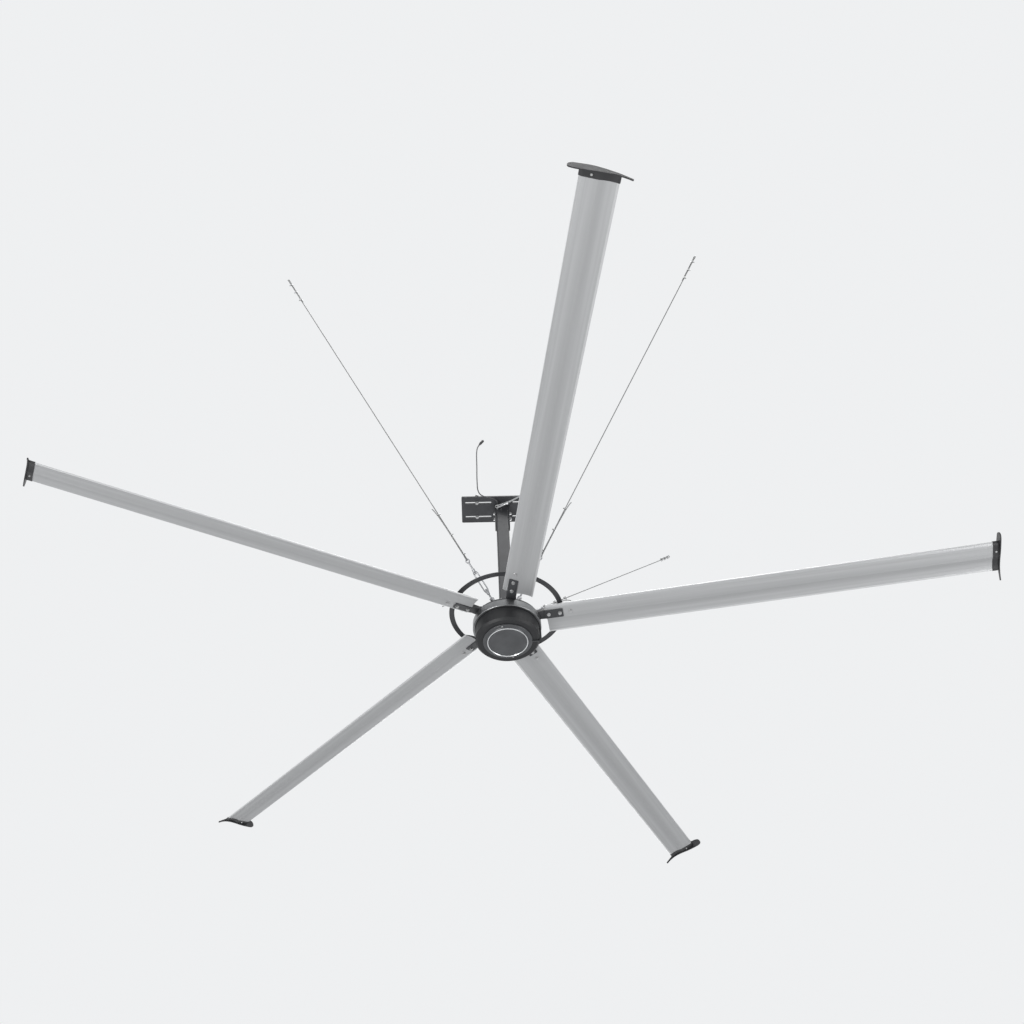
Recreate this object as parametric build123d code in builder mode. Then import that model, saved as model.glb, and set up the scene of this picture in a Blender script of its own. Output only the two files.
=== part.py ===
from build123d import *
import os
from math import cos, pi, radians, sin, tan

os.makedirs("parts", exist_ok=True)

# Industrial ceiling fan with five blades, in millimetres.
# The origin is the middle of the ceiling plate's top face, the fan hangs down along -Z,
# and the rotor turns about the Z axis.

# Ceiling bracket
plate_length = 700
plate_width = 290
plate_thickness = 12
plate_corner = 10
slot_spacing_x = 410
slot_spacing_y = 160
slot_length = 230
slot_width = 18
stud_spacing_x = 434
stud_reach = 92
nut_gap_above_plate = 72
cheek_thickness = 10
cheek_width = 96
cheek_length = 262
bracket_bolt_diameter = 16
rod_bolt_drop = 53
rod_bolt_pitch = 75
earth_screw_place = (-8, -72)
earth_screw_diameter = 8

# Down-rod, a square tube
rod_size = 105
rod_wall = 6
rod_corner = 12
rod_top_gap = 2

# Levels of the hub, counted up from the plane of the blades
plate_to_blades = 1313
foot_thickness = 15
guy_plate_thickness = 12
flange_thickness = 20
flange_bottom_rise = 55
flange_radius = 106
flange_bolt_circle = 176
flange_bolt_count = 8
flange_bolt_diameter = 12

# Shaft and bearings
shaft_radius = 35
shaft_bore = 30
stator_seat_radius = 42
lower_step_radius = 32
lower_seat_radius = 25
upper_bearing_radius = 62.5
upper_bearing_height = 24
lower_bearing_radius = 45
lower_bearing_height = 20
race_split = 0.5
race_clearance = 0.05

# Motor
stator_radius = 214
stator_bore_radius = 150
stator_height = 90
stator_drop = 140
tooth_count = 24
tooth_width = 24
slot_floor_radius = 172
shoe_thickness = 7
shoe_gap = 6
coil_thickness = 8.5
coil_inner_radius = 178
coil_outer_radius = 203
air_gap = 3
magnet_thickness = 11
magnet_count = 28
magnet_gap = 6
yoke_thickness = 8
yoke_height = 118
bell_wall = 10
bell_base = 10
bell_rim_width = 14
fin_count = 66
fin_thickness = 5
fin_depth = 14
fin_drop = 8
fin_inner_radius = 190
fin_corner_width = 24
fin_corner_height = 28
bell_height = 186
band_height = 66
band_overhang = 4
hub_disc_top_drop = 20
hub_disc_thickness = 26
hub_disc_radius = 252
hub_boss_radius = 78
hub_lip = 8
hub_lip_radius = 50
rim_bolt_diameter = 8
cover_radius = 188
cover_flange = 8
cover_crown_radius = 160
cover_crown = 8
cover_rim_radius = 156.5
cover_rim_width = 8
cover_rim_height = 4
cover_screw_circle = 348
cover_screw_diameter = 8

# Blades: an extruded hollow section, LE towards -x and TE towards +x in its own plane
blade_count = 5
first_blade_azimuth = -82.6
blade_pitch = 15.8
blade_droop = 0.57
blade_root = 312
blade_tip = 3640
blade_top = 17
blade_bottom = -15
land_half = 44
top_land_half = 36
nose_radius = 9.5
nose_start = (-70, 6.4)
tail_x = 152
tail_depth = 8
underside_rise = 8.5
skin = 2.8
web = 4
web_inner = 38
tail_solid_from = 134

# Blade arms
arm_pad_start = 112
arm_pad_end = 245
arm_pad_width = 84
arm_pad_height = 24
arm_bolt_diameter = 14
arm_bolt_radii = (140, 215)
arm_bolt_spread = 52
arm_neck_start = 300
arm_end = 545
arm_play = 0.2
strap_width = 70
strap_thickness = 8
strap_end = 442
blade_bolt_diameter = 14
blade_bolt_stations = (330, 417)
bracket_bolt_station = 500

# Safety ring on top of the blades
ring_radius = 428
ring_width = 40
ring_thickness = 6
ring_rise = 59
bracket_width = 60
bracket_sheet = 8
bracket_foot_start = 448
bracket_foot_end = 530
bracket_foot_thickness = 6
ring_bolt_diameter = 10
ring_bolt_spread = 32

# Winglets
collar_length = 42
collar_wall = 3.5
collar_play = 0.2
winglet_thickness = 8
winglet_front = -146
winglet_back = 232
winglet_screw_diameter = 8

# Guy ropes, four of them, each with its turnbuckle
guy_count = 4
first_guy_azimuth = -47.2
guy_angle = 45.56
lug_pin_radius = 135
lug_pin_rise = 97.6
lug_thickness = 12
lug_width = 34
pin_diameter = 12
jaw_cheek = 7
jaw_play = 0.2
jaw_radius = 13
jaw_slot_end = 22
jaw_end = 34
screw_diameter = 14
screw_clearance = 0.08
body_start = 69
body_end = 307
body_boss_length = 28
body_boss_radius = 12.5
body_rod_radius = 5.5
body_rod_spread = 18
lower_screw_end = 118
upper_screw_start = 256
eye_centre = 384
eye_radius = 16
eye_bar_radius = 5
rope_diameter = 8
leg_gap = 0.4
rope_tip = 3287
rope_loop_half = 11.6
rope_loop_taper = 32
rope_loop_radius = 9.15
lower_clips = (449, 635, 829)
upper_clips = (3064, 3146, 3228)
lower_tail_bend = 851
lower_tail_tip = (890, 36)
upper_tail = 3040
clip_rod_radius = 3
clip_saddle_height = 7.8
clip_saddle_width = 20
clip_nut_flats = 11

# Safety rope and power cable
safety_diameter = 14
safety_eye = (-41, -62)
safety_eye_reach = 24
safety_ring_radius = 15
safety_ring_bar = 5
safety_eye_length = 104
safety_leg_start = 52
safety_ferrule_start = 66
safety_bend = 100
shackle_length = 34
safety_waypoints = ((76, -128, -54.8), (171, -160, -16), (257, -180, 28), (330, -187, 74))
power_diameter = 10
power_route = (
    (-33, -47, -30),
    (-33, -104, -30),
    (-74, -139, -28),
    (-136, -153, -28),
    (-192, -170, -8),
    (-209, -177, 52),
    (-211, -179, 115),
    (-213, -180, 235),
    (-211.5, -180.5, 365),
    (-213, -180, 495),
    (-211, -180, 600),
    (-200, -180, 665),
    (-173, -180, 712),
)
gland_place = (-33, -30)
gland_length = 30
gland_radius = 11
connector_length = 62
connector_radius = 12

# Derived levels
blade_level = -plate_thickness - plate_to_blades
flange_bottom = blade_level + flange_bottom_rise
flange_top = flange_bottom + flange_thickness
guy_plate_top = flange_top + guy_plate_thickness
foot_top = guy_plate_top + foot_thickness
rod_top = -plate_thickness - rod_top_gap
rod_half = rod_size / 2
hub_disc_top = blade_level - hub_disc_top_drop
hub_disc_bottom = hub_disc_top - hub_disc_thickness
hub_boss_top = hub_disc_top + 12
upper_bearing_top = hub_boss_top - hub_lip
upper_bearing_bottom = upper_bearing_top - upper_bearing_height
bell_bottom = hub_disc_bottom - bell_height
bell_floor = bell_bottom + bell_base
fin_bottom = bell_bottom - fin_drop
lower_bearing_bottom = bell_bottom + 6
lower_bearing_top = lower_bearing_bottom + lower_bearing_height
stator_middle = blade_level - stator_drop
stator_top = stator_middle + stator_height / 2
stator_bottom = stator_middle - stator_height / 2
magnet_inner_radius = stator_radius + air_gap
yoke_inner_radius = magnet_inner_radius + magnet_thickness
yoke_outer_radius = yoke_inner_radius + yoke_thickness
rim_radius = yoke_outer_radius + bell_rim_width
wall_radius = yoke_outer_radius + bell_wall
fin_radius = wall_radius + fin_depth
band_radius = fin_radius + band_overhang
band_bottom = hub_disc_bottom - band_height
rim_bolt_circle = yoke_outer_radius + rim_radius
cover_face = bell_bottom - cover_flange - cover_crown
rod_bolt_levels = [-plate_thickness - rod_bolt_drop - i * rod_bolt_pitch for i in range(2)]
spokes = [Location((0, 0, 0), (0, 0, first_blade_azimuth + i * 360 / blade_count)) for i in range(blade_count)]
guys = [Location((0, 0, 0), (0, 0, first_guy_azimuth + i * 360 / guy_count)) for i in range(guy_count)]

# Fastener proportions, as shares of the thread's diameter
head_flats = 1.5
head_height = 0.62
nut_height = 0.8
washer_radius = 1.05
washer_thickness = 0.18


def save(piece, label):
    """Labels a finished piece and writes its STEP file."""
    piece.label = label
    export_step(piece, f"parts/{label}.step")


def hex_bolt(diameter, reach):
    """Gives a bolt whose washer rests on z = 0, with its head below and its shank pointing up."""
    with BuildPart() as bolt:
        with BuildSketch():
            Circle(washer_radius * diameter)
        extrude(amount=-washer_thickness * diameter)
        with BuildSketch(Plane.XY.offset(-washer_thickness * diameter)):
            RegularPolygon(head_flats * diameter / 2, 6, major_radius=False)
        extrude(amount=-head_height * diameter)
        with BuildSketch():
            Circle(diameter / 2)
        extrude(amount=reach)
    return bolt.part


def hex_nut(diameter):
    """Gives a nut with its washer, seated on z = 0, round a thread of that diameter."""
    with BuildPart() as nut:
        with BuildSketch():
            Circle(washer_radius * diameter)
            Circle(diameter / 2, mode=Mode.SUBTRACT)
        extrude(amount=washer_thickness * diameter)
        with BuildSketch(Plane.XY.offset(washer_thickness * diameter)):
            RegularPolygon(head_flats * diameter / 2, 6, major_radius=False)
            Circle(diameter / 2, mode=Mode.SUBTRACT)
        extrude(amount=nut_height * diameter)
    return nut.part


def turned(points):
    """Gives the solid of revolution about Z of a closed outline of (radius, level) points."""
    with BuildPart() as ring:
        with BuildSketch(Plane.XZ):
            with BuildLine():
                Polyline(*points, close=True)
            make_face()
        revolve(axis=Axis.Z)
    return ring.part


# Ceiling bracket: slotted plate with two welded cheeks that clasp the down-rod
with BuildPart() as ceiling_bracket:
    with BuildSketch(Plane.XY.offset(-plate_thickness)):
        RectangleRounded(plate_length, plate_width, plate_corner)
        with GridLocations(slot_spacing_x, slot_spacing_y, 2, 2):
            SlotOverall(slot_length, slot_width, mode=Mode.SUBTRACT)
    extrude(amount=plate_thickness)
    for side in (-1, 1):
        with BuildSketch(Plane.YZ.offset(side * rod_half)):
            with Locations((0, -plate_thickness - (cheek_length - cheek_width / 2) / 2)):
                Rectangle(cheek_width, cheek_length - cheek_width / 2)
            with Locations((0, -plate_thickness - cheek_length + cheek_width / 2)):
                Circle(cheek_width / 2)
            with Locations(*[(0, level) for level in rod_bolt_levels]):
                Circle(bracket_bolt_diameter / 2 + 0.5, mode=Mode.SUBTRACT)
        extrude(amount=side * cheek_thickness)
save(ceiling_bracket.part, "ceiling_bracket")

# Down-rod with its cross bolt holes and the two holes near its top for the cable and the safety rope
with BuildPart() as down_rod:
    with BuildSketch(Plane.XY.offset(foot_top)):
        RectangleRounded(rod_size, rod_size, rod_corner)
        RectangleRounded(rod_size - 2 * rod_wall, rod_size - 2 * rod_wall, rod_corner - rod_wall, mode=Mode.SUBTRACT)
    extrude(amount=rod_top - foot_top)
    with BuildSketch(Plane.YZ.offset(-rod_size)):
        with Locations(*[(0, level) for level in rod_bolt_levels]):
            Circle(bracket_bolt_diameter / 2 + 0.5)
    extrude(amount=2 * rod_size, mode=Mode.SUBTRACT)
    with BuildSketch(Plane.XZ.offset(rod_half - 2 * rod_wall)):
        with Locations(gland_place):
            Circle(gland_radius - 3)
        with Locations(safety_eye):
            Circle(safety_ring_bar)
        with Locations(earth_screw_place):
            Circle(earth_screw_diameter / 2)
    extrude(amount=3 * rod_wall, mode=Mode.SUBTRACT)
save(down_rod.part, "down_rod")

# Bolts up through the plate's slots into the building's steelwork, cross bolts, and an earthing screw
stud_places = [(x, y) for x in (-stud_spacing_x / 2, stud_spacing_x / 2) for y in (-slot_spacing_y / 2, slot_spacing_y / 2)]
cheek_face = rod_half + cheek_thickness
mounting_bolt = hex_bolt(bracket_bolt_diameter, plate_thickness + stud_reach)
cross_bolt = hex_bolt(bracket_bolt_diameter, 2 * cheek_face + 1.2 * bracket_bolt_diameter)
bracket_nut = hex_nut(bracket_bolt_diameter)
with BuildPart() as bracket_bolts:
    with Locations(*[(x, y, -plate_thickness) for x, y in stud_places]):
        add(mounting_bolt)
    with Locations(*[Location((-cheek_face, 0, level), (0, 90, 0)) for level in rod_bolt_levels]):
        add(cross_bolt)
    with Locations(Location((earth_screw_place[0], -rod_half, earth_screw_place[1]), (-90, 0, 0))):
        add(hex_bolt(earth_screw_diameter, rod_wall))
save(bracket_bolts.part, "bracket_bolts")
with BuildPart() as bracket_nuts:
    with Locations(*[(x, y, nut_gap_above_plate) for x, y in stud_places]):
        add(bracket_nut)
    with Locations(*[Location((cheek_face, 0, level), (0, 90, 0)) for level in rod_bolt_levels]):
        add(bracket_nut)
save(bracket_nuts.part, "bracket_nuts")

# Foot plate welded under the rod, and the guy plate clamped between it and the shaft's flange
flange_bolt_places = PolarLocations(flange_bolt_circle / 2, flange_bolt_count, 180 / flange_bolt_count)
with BuildPart() as rod_foot:
    with BuildSketch(Plane.XY.offset(guy_plate_top)):
        Circle(flange_radius)
        Circle(shaft_bore / 2, mode=Mode.SUBTRACT)
        with flange_bolt_places:
            Circle(flange_bolt_diameter / 2 + 0.5, mode=Mode.SUBTRACT)
    extrude(amount=foot_thickness)
save(rod_foot.part, "rod_foot")

lug_pin_level = blade_level + lug_pin_rise
with BuildPart() as lug:
    with BuildSketch(Plane.XZ):
        with BuildLine():
            Polyline(
                (flange_radius - 4, flange_top),
                (lug_pin_radius + lug_width / 2, flange_top),
                (lug_pin_radius + lug_width / 2, lug_pin_level),
                (lug_pin_radius - lug_width / 2, lug_pin_level),
                (lug_pin_radius - lug_width / 2, guy_plate_top + 4),
                (flange_radius + 0.5, guy_plate_top + 4),
                (flange_radius + 0.5, guy_plate_top),
                (flange_radius - 4, guy_plate_top),
                close=True,
            )
        make_face()
        with Locations((lug_pin_radius, lug_pin_level)):
            Circle(lug_width / 2)
            Circle(pin_diameter / 2, mode=Mode.SUBTRACT)
    extrude(amount=lug_thickness / 2, both=True)
with BuildPart() as guy_plate:
    with BuildSketch(Plane.XY.offset(flange_top)):
        Circle(flange_radius)
        Circle(shaft_bore / 2, mode=Mode.SUBTRACT)
        with flange_bolt_places:
            Circle(flange_bolt_diameter / 2 + 0.5, mode=Mode.SUBTRACT)
    extrude(amount=guy_plate_thickness)
    with Locations(*guys):
        add(lug.part)
save(guy_plate.part, "guy_plate")

foot_grip = foot_top - flange_bottom
foot_bolt = hex_bolt(flange_bolt_diameter, foot_grip)
with BuildPart() as foot_bolts:
    with Locations((0, 0, foot_top)):
        with PolarLocations(flange_bolt_circle / 2, flange_bolt_count, 180 / flange_bolt_count):
            with Locations(Location((0, 0, 0), (180, 0, 0))):
                add(foot_bolt)
save(foot_bolts.part, "foot_bolts")

# Fixed shaft, hollow for the motor's leads, stepped for its two bearings and the stator
shaft_end = bell_bottom + 4
with BuildPart() as stator_shaft:
    add(turned([
        (shaft_bore / 2, shaft_end),
        (lower_seat_radius, shaft_end),
        (lower_seat_radius, lower_bearing_top),
        (lower_step_radius, lower_bearing_top),
        (lower_step_radius, stator_bottom),
        (stator_seat_radius, stator_bottom),
        (stator_seat_radius, upper_bearing_bottom),
        (shaft_radius, upper_bearing_bottom),
        (shaft_radius, flange_bottom),
        (flange_radius, flange_bottom),
        (flange_radius, flange_top),
        (shaft_bore / 2, flange_top),
    ]))
    with BuildSketch(Plane.XY.offset(flange_bottom)):
        with flange_bolt_places:
            Circle(flange_bolt_diameter / 2)
    extrude(amount=flange_thickness, mode=Mode.SUBTRACT)
save(stator_shaft.part, "stator_shaft")


def race(inner, outer, low, high):
    """Gives one race of a sealed bearing, with its edges broken."""
    with BuildPart() as ring:
        add(turned([(inner, low), (outer, low), (outer, high), (inner, high)]))
        chamfer(ring.edges().filter_by(GeomType.CIRCLE), 0.8)
    return ring.part


upper_split = shaft_radius + race_split * (upper_bearing_radius - shaft_radius)
lower_split = lower_seat_radius + race_split * (lower_bearing_radius - lower_seat_radius)
save(race(shaft_radius, upper_split - race_clearance, upper_bearing_bottom, upper_bearing_top), "upper_bearing_inner")
save(race(upper_split, upper_bearing_radius, upper_bearing_bottom, upper_bearing_top), "upper_bearing_outer")
save(race(lower_seat_radius, lower_split - race_clearance, lower_bearing_bottom, lower_bearing_top), "lower_bearing_inner")
save(race(lower_split, lower_bearing_radius, lower_bearing_bottom, lower_bearing_top), "lower_bearing_outer")

# Stator: cast hub, laminated core with parallel teeth, one coil on each tooth
hub_ring = 14
hub_web = 12
save(turned([
    (stator_seat_radius, stator_bottom),
    (stator_seat_radius + hub_ring, stator_bottom),
    (stator_seat_radius + hub_ring, stator_middle - hub_web / 2),
    (stator_bore_radius - hub_ring, stator_middle - hub_web / 2),
    (stator_bore_radius - hub_ring, stator_bottom),
    (stator_bore_radius, stator_bottom),
    (stator_bore_radius, stator_top),
    (stator_bore_radius - hub_ring, stator_top),
    (stator_bore_radius - hub_ring, stator_middle + hub_web / 2),
    (stator_seat_radius + hub_ring, stator_middle + hub_web / 2),
    (stator_seat_radius + hub_ring, stator_top),
    (stator_seat_radius, stator_top),
]), "stator_hub")

shoe_inner = stator_radius - shoe_thickness
with BuildPart() as stator_core:
    with BuildSketch(Plane.XY.offset(stator_bottom)):
        Circle(stator_radius)
        Circle(shoe_inner, mode=Mode.SUBTRACT)
        with PolarLocations(shoe_inner, tooth_count, 180 / tooth_count):
            Rectangle(3 * shoe_thickness, shoe_gap, mode=Mode.SUBTRACT)
        with PolarLocations((slot_floor_radius + shoe_inner) / 2, tooth_count):
            Rectangle(shoe_inner - slot_floor_radius + shoe_thickness, tooth_width)
        Circle(slot_floor_radius)
        Circle(stator_bore_radius, mode=Mode.SUBTRACT)
    extrude(amount=stator_height)
save(stator_core.part, "stator_core")

coil_middle = (coil_inner_radius + coil_outer_radius) / 2
with BuildPart() as coil:
    with BuildSketch(Plane.YZ.offset(coil_inner_radius)):
        with Locations((0, stator_middle)):
            RectangleRounded(tooth_width + 2 * coil_thickness, stator_height + 2 * coil_thickness, coil_thickness)
            Rectangle(tooth_width, stator_height, mode=Mode.SUBTRACT)
    extrude(amount=coil_outer_radius - coil_inner_radius)
with BuildPart() as stator_windings:
    with PolarLocations(0, tooth_count):
        add(coil.part)
save(stator_windings.part, "stator_windings")

# Rotor: magnets, back iron, finned bell, smooth band and the hub disc that closes the bell
with BuildPart() as rotor_magnets:
    with BuildSketch(Plane.XY.offset(stator_bottom)):
        Circle(yoke_inner_radius)
        Circle(magnet_inner_radius, mode=Mode.SUBTRACT)
        with PolarLocations((magnet_inner_radius + yoke_inner_radius) / 2, magnet_count):
            Rectangle(2 * magnet_thickness, magnet_gap, mode=Mode.SUBTRACT)
    extrude(amount=stator_height)
save(rotor_magnets.part, "rotor_magnets")

yoke_bottom = stator_middle - yoke_height / 2
yoke_top = stator_middle + yoke_height / 2
save(turned([
    (yoke_inner_radius, yoke_bottom),
    (yoke_outer_radius, yoke_bottom),
    (yoke_outer_radius, yoke_top),
    (yoke_inner_radius, yoke_top),
]), "rotor_yoke")

bearing_hole = lower_bearing_radius - 8
boss_radius = lower_bearing_radius + 16
with BuildPart() as motor_bell:
    add(turned([
        (bearing_hole, bell_bottom),
        (bearing_hole, lower_bearing_bottom),
        (lower_bearing_radius, lower_bearing_bottom),
        (lower_bearing_radius, lower_bearing_top),
        (boss_radius, lower_bearing_top),
        (boss_radius, bell_floor),
        (yoke_outer_radius, bell_floor),
        (yoke_outer_radius, hub_disc_bottom),
        (rim_radius, hub_disc_bottom),
        (rim_radius, band_bottom),
        (wall_radius, band_bottom),
        (wall_radius, bell_bottom + bell_wall + 6),
        (wall_radius - 16, bell_bottom),
    ]))
    with BuildSketch(Plane.XZ) as fin_outline:
        with BuildLine():
            Polyline(
                (wall_radius - 2, band_bottom),
                (fin_radius, band_bottom),
                (fin_radius, fin_bottom + fin_corner_height),
                (fin_radius - fin_corner_width, fin_bottom),
                (fin_inner_radius, fin_bottom),
                (fin_inner_radius, bell_bottom + 1),
                (wall_radius - 17, bell_bottom + 1),
                (wall_radius - 2, bell_bottom + bell_wall + 6),
                close=True,
            )
        make_face()
    with PolarLocations(0, fin_count):
        extrude(fin_outline.sketch, amount=fin_thickness / 2, both=True)
save(motor_bell.part, "motor_bell")

with BuildPart() as motor_band:
    add(turned([
        (rim_radius, band_bottom),
        (band_radius - 2, band_bottom),
        (band_radius - 2, band_bottom + 3),
        (band_radius, band_bottom + 5),
        (band_radius, hub_disc_bottom - 4),
        (band_radius - 3, hub_disc_bottom),
        (rim_radius, hub_disc_bottom),
    ]))
save(motor_band.part, "motor_band")

arm_bolt_places = [(r, y) for r in arm_bolt_radii for y in (-arm_bolt_spread / 2, arm_bolt_spread / 2)]
rim_bolt_places = PolarLocations(
    rim_bolt_circle / 2, 2 * blade_count, first_blade_azimuth + 90 / blade_count
)
with BuildPart() as hub_disc:
    add(turned([
        (upper_bearing_radius, hub_disc_bottom - 8),
        (hub_boss_radius, hub_disc_bottom - 8),
        (hub_boss_radius + 6, hub_disc_bottom),
        (hub_disc_radius, hub_disc_bottom),
        (hub_disc_radius, hub_disc_top - 4),
        (hub_disc_radius - 4, hub_disc_top),
        (hub_boss_radius + 10, hub_disc_top),
        (hub_boss_radius, hub_boss_top),
        (hub_lip_radius, hub_boss_top),
        (hub_lip_radius, upper_bearing_top),
        (upper_bearing_radius, upper_bearing_top),
    ]))
    with BuildSketch(Plane.XY.offset(hub_disc_top)):
        with Locations(*spokes):
            with Locations(*arm_bolt_places):
                Circle(arm_bolt_diameter / 2)
        with rim_bolt_places:
            Circle(rim_bolt_diameter / 2)
    extrude(amount=-hub_disc_thickness, mode=Mode.SUBTRACT)
save(hub_disc.part, "hub_disc")

# Cover under the motor with its bright raised rim and two screws
save(turned([
    (0, bell_bottom),
    (cover_radius, bell_bottom),
    (cover_radius, bell_bottom - cover_flange + 1.5),
    (cover_radius - 1.5, bell_bottom - cover_flange),
    (cover_crown_radius + 4, bell_bottom - cover_flange),
    (cover_crown_radius - 2, cover_face),
    (0, cover_face),
]), "cover_plate")
save(turned([
    (cover_rim_radius - cover_rim_width, cover_face),
    (cover_rim_radius, cover_face),
    (cover_rim_radius - 1, cover_face - cover_rim_height + 1),
    (cover_rim_radius - 3, cover_face - cover_rim_height),
    (cover_rim_radius - cover_rim_width + 2, cover_face - cover_rim_height),
    (cover_rim_radius - cover_rim_width, cover_face - cover_rim_height + 2),
]), "cover_rim")

cover_screw_azimuth = -104
with BuildPart() as cover_screws:
    with BuildSketch(Plane.XY.offset(bell_bottom - cover_flange)):
        with PolarLocations(cover_screw_circle / 2, 2, cover_screw_azimuth):
            Circle(cover_screw_diameter * 0.9)
    extrude(amount=-0.5 * cover_screw_diameter, taper=18)
save(cover_screws.part, "cover_screws")

# Plane of one blade at azimuth 0: x runs to the trailing edge, y up and z out along the span
droop = radians(blade_droop)
pitch = radians(blade_pitch)
span = Vector(cos(droop), 0, -sin(droop))
upright = Vector(sin(droop), 0, cos(droop))
chordwise = Vector(0, 1, 0) * cos(pitch) - upright * sin(pitch)
blade_plane = Plane(origin=(0, 0, blade_level), x_dir=chordwise, z_dir=span)


def on_blade(x, y, z):
    """Gives the plane at a point of the blade's own frame whose z points up through the blade."""
    return Plane(origin=blade_plane.from_local_coords((x, y, z)), x_dir=span, z_dir=blade_plane.y_dir)


# Arms: a pad bolted on the hub disc, a twisted forged neck and a spar inside the blade
pad_top = hub_disc_top + arm_pad_height
with BuildPart() as arm:
    with BuildSketch(Plane.XY.offset(hub_disc_top)):
        with Locations(((arm_pad_start + arm_pad_end) / 2, 0)):
            RectangleRounded(arm_pad_end - arm_pad_start, arm_pad_width, 8)
    extrude(amount=arm_pad_height)
    pad_face = Plane(origin=(arm_pad_end - 10, 0, 0), x_dir=(0, 1, 0), z_dir=(1, 0, 0))
    with BuildSketch(pad_face):
        with Locations((0, hub_disc_top + arm_pad_height / 2)):
            Rectangle(2 * web_inner, arm_pad_height - 3)
    with BuildSketch(blade_plane.offset(arm_neck_start)):
        with Locations((0, (blade_top + blade_bottom) / 2)):
            Rectangle(2 * web_inner, blade_top - blade_bottom)
    loft(ruled=True)
    with BuildSketch(blade_plane.offset(arm_neck_start)):
        with Locations((0, (blade_top + blade_bottom) / 2)):
            Rectangle(2 * web_inner, blade_top - blade_bottom)
    extrude(amount=blade_root - arm_neck_start)
    with BuildSketch(blade_plane.offset(blade_root)):
        spar_height = blade_top - blade_bottom - 2 * skin - arm_play
        with Locations((0, blade_bottom + skin + spar_height / 2)):
            Rectangle(2 * (web_inner - arm_play), spar_height)
    extrude(amount=arm_end - blade_root)
    with BuildSketch(Plane.XY.offset(hub_disc_top)):
        with Locations(*arm_bolt_places):
            Circle(arm_bolt_diameter / 2 + 0.5)
    extrude(amount=arm_pad_height, mode=Mode.SUBTRACT)
    with Locations(*[on_blade(0, 0, z) for z in (*blade_bolt_stations, bracket_bolt_station)]):
        Cylinder(blade_bolt_diameter / 2 + 0.5, 80, mode=Mode.SUBTRACT)
with BuildPart() as blade_arms:
    with Locations(*spokes):
        add(arm.part)
save(blade_arms.part, "blade_arms")

arm_bolt = hex_bolt(arm_bolt_diameter, arm_pad_height + hub_disc_thickness - 4)
rim_bolt = hex_bolt(rim_bolt_diameter, hub_disc_thickness)
with BuildPart() as hub_bolts:
    with Locations(*spokes):
        with Locations(*[Location((x, y, pad_top), (180, 0, 0)) for x, y in arm_bolt_places]):
            add(arm_bolt)
    with Locations((0, 0, hub_disc_top)):
        with PolarLocations(rim_bolt_circle / 2, 2 * blade_count, first_blade_azimuth + 90 / blade_count):
            with Locations(Location((0, 0, 0), (180, 0, 0))):
                add(rim_bolt)
save(hub_bolts.part, "hub_bolts")

# Blade section: flat lands for the bolts, round nose, cambered underside and a beaded trailing edge
with BuildSketch() as aerofoil:
    with BuildLine():
        top_land = Line((top_land_half, blade_top), (-top_land_half, blade_top))
        brow = TangentArc(top_land @ 1, nose_start, tangent=top_land % 1)
        nose = JernArc(brow @ 1, brow % 1, nose_radius, 117)
        chin = TangentArc(nose @ 1, (-land_half, blade_bottom), tangent=nose % 1)
        low_land = Line((-land_half, blade_bottom), (land_half, blade_bottom))
        belly = ThreePointArc(
            (land_half, blade_bottom),
            ((land_half + tail_x) / 2, (blade_bottom - tail_depth) / 2 + underside_rise),
            (tail_x, 1 - tail_depth),
        )
        bead = ThreePointArc((tail_x, 1 - tail_depth), (tail_x + tail_depth + 2, -tail_depth / 2), (tail_x + 2, 1))
        back = TangentArc((top_land_half, blade_top), (tail_x + 2, 1), tangent=(1, 0))
    make_face()

with BuildSketch() as cells:
    add(aerofoil.sketch)
    offset(amount=-skin, kind=Kind.INTERSECTION, mode=Mode.REPLACE)
    for side in (-1, 1):
        with Locations((side * (web_inner + web / 2), 0)):
            Rectangle(web, 100, mode=Mode.SUBTRACT)
    with Locations((tail_solid_from + 50, 0)):
        Rectangle(100, 100, mode=Mode.SUBTRACT)

with BuildPart() as blade:
    with BuildSketch(blade_plane.offset(blade_root)):
        add(aerofoil.sketch)
        add(cells.sketch, mode=Mode.SUBTRACT)
    extrude(amount=blade_tip - blade_root)
    with Locations(*[on_blade(0, 0, z) for z in (*blade_bolt_stations, bracket_bolt_station)]):
        Cylinder(blade_bolt_diameter / 2 + 0.5, 80, mode=Mode.SUBTRACT)
for number, spoke in enumerate(spokes, 1):
    with BuildPart() as placed_blade:
        with Locations(spoke):
            add(blade.part)
    save(placed_blade.part, f"blade_{number}")

# Clamp straps under the blades
with BuildPart() as strap:
    with BuildSketch(on_blade(0, blade_bottom - strap_thickness, (arm_neck_start + strap_end) / 2)):
        RectangleRounded(strap_end - arm_neck_start, strap_width, 5)
        with Locations(*[(z - (arm_neck_start + strap_end) / 2, 0) for z in blade_bolt_stations]):
            Circle(blade_bolt_diameter / 2 + 0.5, mode=Mode.SUBTRACT)
    extrude(amount=strap_thickness)
with BuildPart() as blade_straps:
    with Locations(*spokes):
        add(strap.part)
save(blade_straps.part, "blade_straps")

# Safety ring on five bent brackets
ring_bottom = blade_level + ring_rise
with BuildPart() as safety_ring:
    with BuildSketch(Plane.XY.offset(ring_bottom)):
        Circle(ring_radius + ring_width / 2)
        Circle(ring_radius - ring_width / 2, mode=Mode.SUBTRACT)
        with Locations(*spokes):
            with Locations((ring_radius, -ring_bolt_spread / 2), (ring_radius, ring_bolt_spread / 2)):
                Circle(ring_bolt_diameter / 2 + 0.5, mode=Mode.SUBTRACT)
    extrude(amount=ring_thickness)
    fillet(safety_ring.edges().filter_by(GeomType.CIRCLE).group_by(SortBy.RADIUS)[-1], 1.5)
save(safety_ring.part, "safety_ring")

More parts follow.
